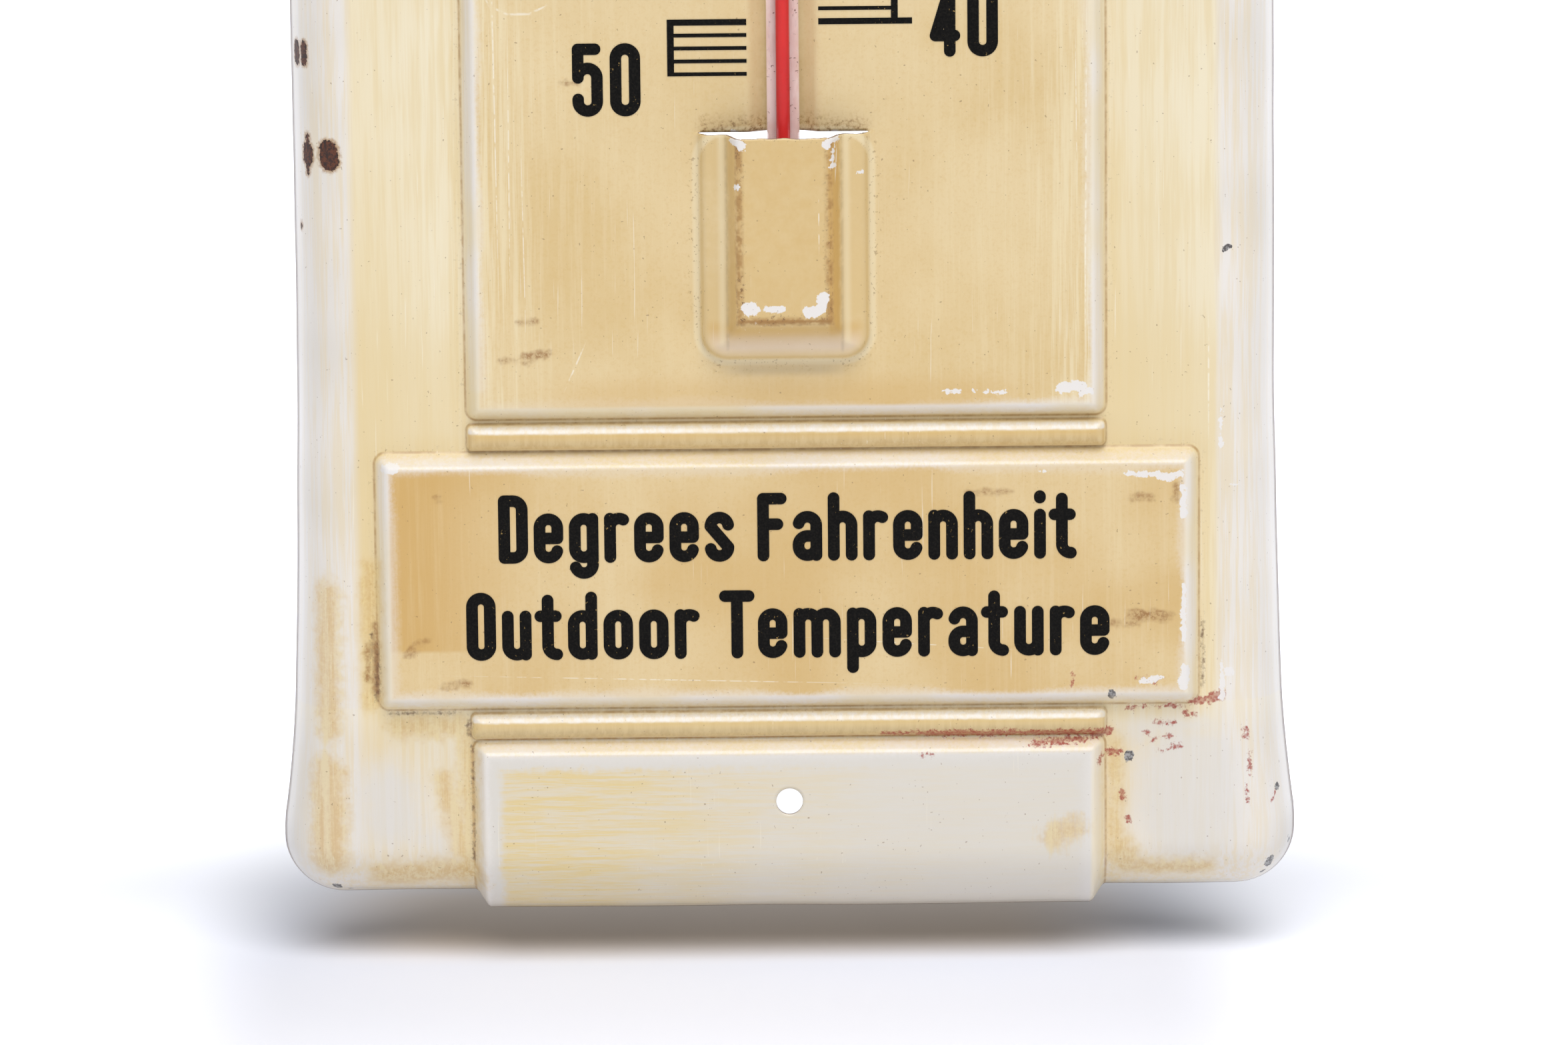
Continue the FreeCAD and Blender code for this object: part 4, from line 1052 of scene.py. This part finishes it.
# ---------------- floor, light and camera
HANGING_HEIGHT = 6.5            # lower edge above the floor
FLOOR_Z = -(HALF_HEIGHT + HANGING_HEIGHT) * MM
FLOOR_SIZE = 30.0               # metres
FLOOR_COLOUR = rgb(238, 240, 250)
PAINTED_BOUNCE_TINT = rgb(244, 228, 212)
GLOW_COLOUR = (0.95, 0.97, 1.0, 1.0)
NEAR_GLOW = 0.30                # the floor's own glow: none at the object, this much past GLOW_REACH
GLOW_REACH = (0.006, 0.105)     # metres out from the object to the front and back
SIDE_REACH = 0.25               # share of that to the sides
DARK_MIDDLE, DARK_HALF = -0.010, 0.063      # metres: the stretch of floor along x that doesn't glow
WARM_MIDDLE = 0.030             # a strip of floor behind the lower edge is tinted warm: painted bounce light from the tin
WARM_REACH = (0.010, 0.030)
WARM_SIDE = (0.040, 0.070)
FAR_GLOW = 0.6                  # and this much more behind the object
FAR_REACH = (0.045, 0.12)
WORLD_STRENGTH = 0.26
KEY_LIGHT = (56.0, 8.0, 2.5, 52.0)          # elevation, azimuth, strength, spread
CAMERA_DROP = math.radians(12.0)
CAMERA_ROLL = math.radians(0.55)
CAMERA_DISTANCE = 1.3
CAMERA_TARGET = Vector((-0.447, 2.8, -129.32)) * MM
CAMERA_LENS = 200.0
CAMERA_FILM = 36.0
CAMERA_CLIP = 0.05


def pale_floor():
    """Paper that glows except close to the object, where it stays dark enough to take the shadow."""
    s = Shader("pale_floor")
    s.set(Roughness=0.95)
    s.surface.inputs["Specular IOR Level"].default_value = 0.1
    s.surface.inputs["Emission Color"].default_value = GLOW_COLOUR
    at = s.node("ShaderNodeSeparateXYZ", {0: s.node("ShaderNodeTexCoord").outputs["Object"]}).outputs
    across = s.math("ABSOLUTE", s.math("SUBTRACT", at["X"], DARK_MIDDLE))
    beside = s.math("DIVIDE", s.math("MAXIMUM", s.math("SUBTRACT", across, DARK_HALF), 0.0), SIDE_REACH)
    out = s.math("SQRT", s.math("ADD", s.math("POWER", beside, 2.0), s.math("POWER", at["Y"], 2.0)))
    near_glow = s.span(out, *GLOW_REACH, 0.0, NEAR_GLOW)
    # painted bounce light: a warm tint on the floor just behind the lower edge
    behind = s.math("ABSOLUTE", s.math("SUBTRACT", at["Y"], WARM_MIDDLE))
    painted_bounce = s.both(s.fade(behind, *WARM_REACH), s.fade(across, *WARM_SIDE))
    s.set(Base_Color=s.mix(painted_bounce, FLOOR_COLOUR, PAINTED_BOUNCE_TINT))
    s.set(Emission_Strength=s.math("ADD", near_glow, s.span(at["Y"], *FAR_REACH, 0.0, FAR_GLOW)))
    return s.material


def broad_sun(name, elevation, azimuth, strength, spread):
    """Even light from a direction in degrees: azimuth 0 is the front, 90 the reader's right."""
    data = bpy.data.lights.new(name, "SUN")
    data.energy = strength
    data.angle = math.radians(spread)
    light = bpy.data.objects.new(name, data)
    e, a = math.radians(elevation), math.radians(azimuth)
    toward = Vector((math.cos(e) * math.sin(a), -math.cos(e) * math.cos(a), math.sin(e)))
    light.rotation_mode = "QUATERNION"
    light.rotation_quaternion = toward.to_track_quat("Z", "Y")
    bpy.context.collection.objects.link(light)


def place_camera():
    """A long lens that looks down on the lower half of the panel, turned a little about its own axis."""
    camera = bpy.data.objects.new("camera", bpy.data.cameras.new("camera"))
    camera.data.lens = CAMERA_LENS
    camera.data.sensor_width = CAMERA_FILM
    camera.data.clip_start = CAMERA_CLIP
    forward = Vector((0, math.cos(CAMERA_DROP), -math.sin(CAMERA_DROP)))
    stand = Matrix.Translation(CAMERA_TARGET - forward * CAMERA_DISTANCE)
    tilt = Matrix.Rotation(math.pi / 2 - CAMERA_DROP, 4, "X")
    camera.matrix_world = stand @ tilt @ Matrix.Rotation(-CAMERA_ROLL, 4, "Z")
    bpy.context.collection.objects.link(camera)
    return camera


bpy.ops.mesh.primitive_plane_add(size=FLOOR_SIZE, location=(0, 0, FLOOR_Z))
floor = bpy.context.object
floor.name = "floor"
floor.data.materials.append(pale_floor())

world = bpy.data.worlds.new("studio")
world.use_nodes = True
world.node_tree.nodes["Background"].inputs["Color"].default_value = (1.0, 1.0, 1.0, 1.0)
world.node_tree.nodes["Background"].inputs["Strength"].default_value = WORLD_STRENGTH

broad_sun("key_light", *KEY_LIGHT)

scene = bpy.context.scene
scene.world = world
scene.view_settings.view_transform = "Standard"
scene.camera = place_camera()
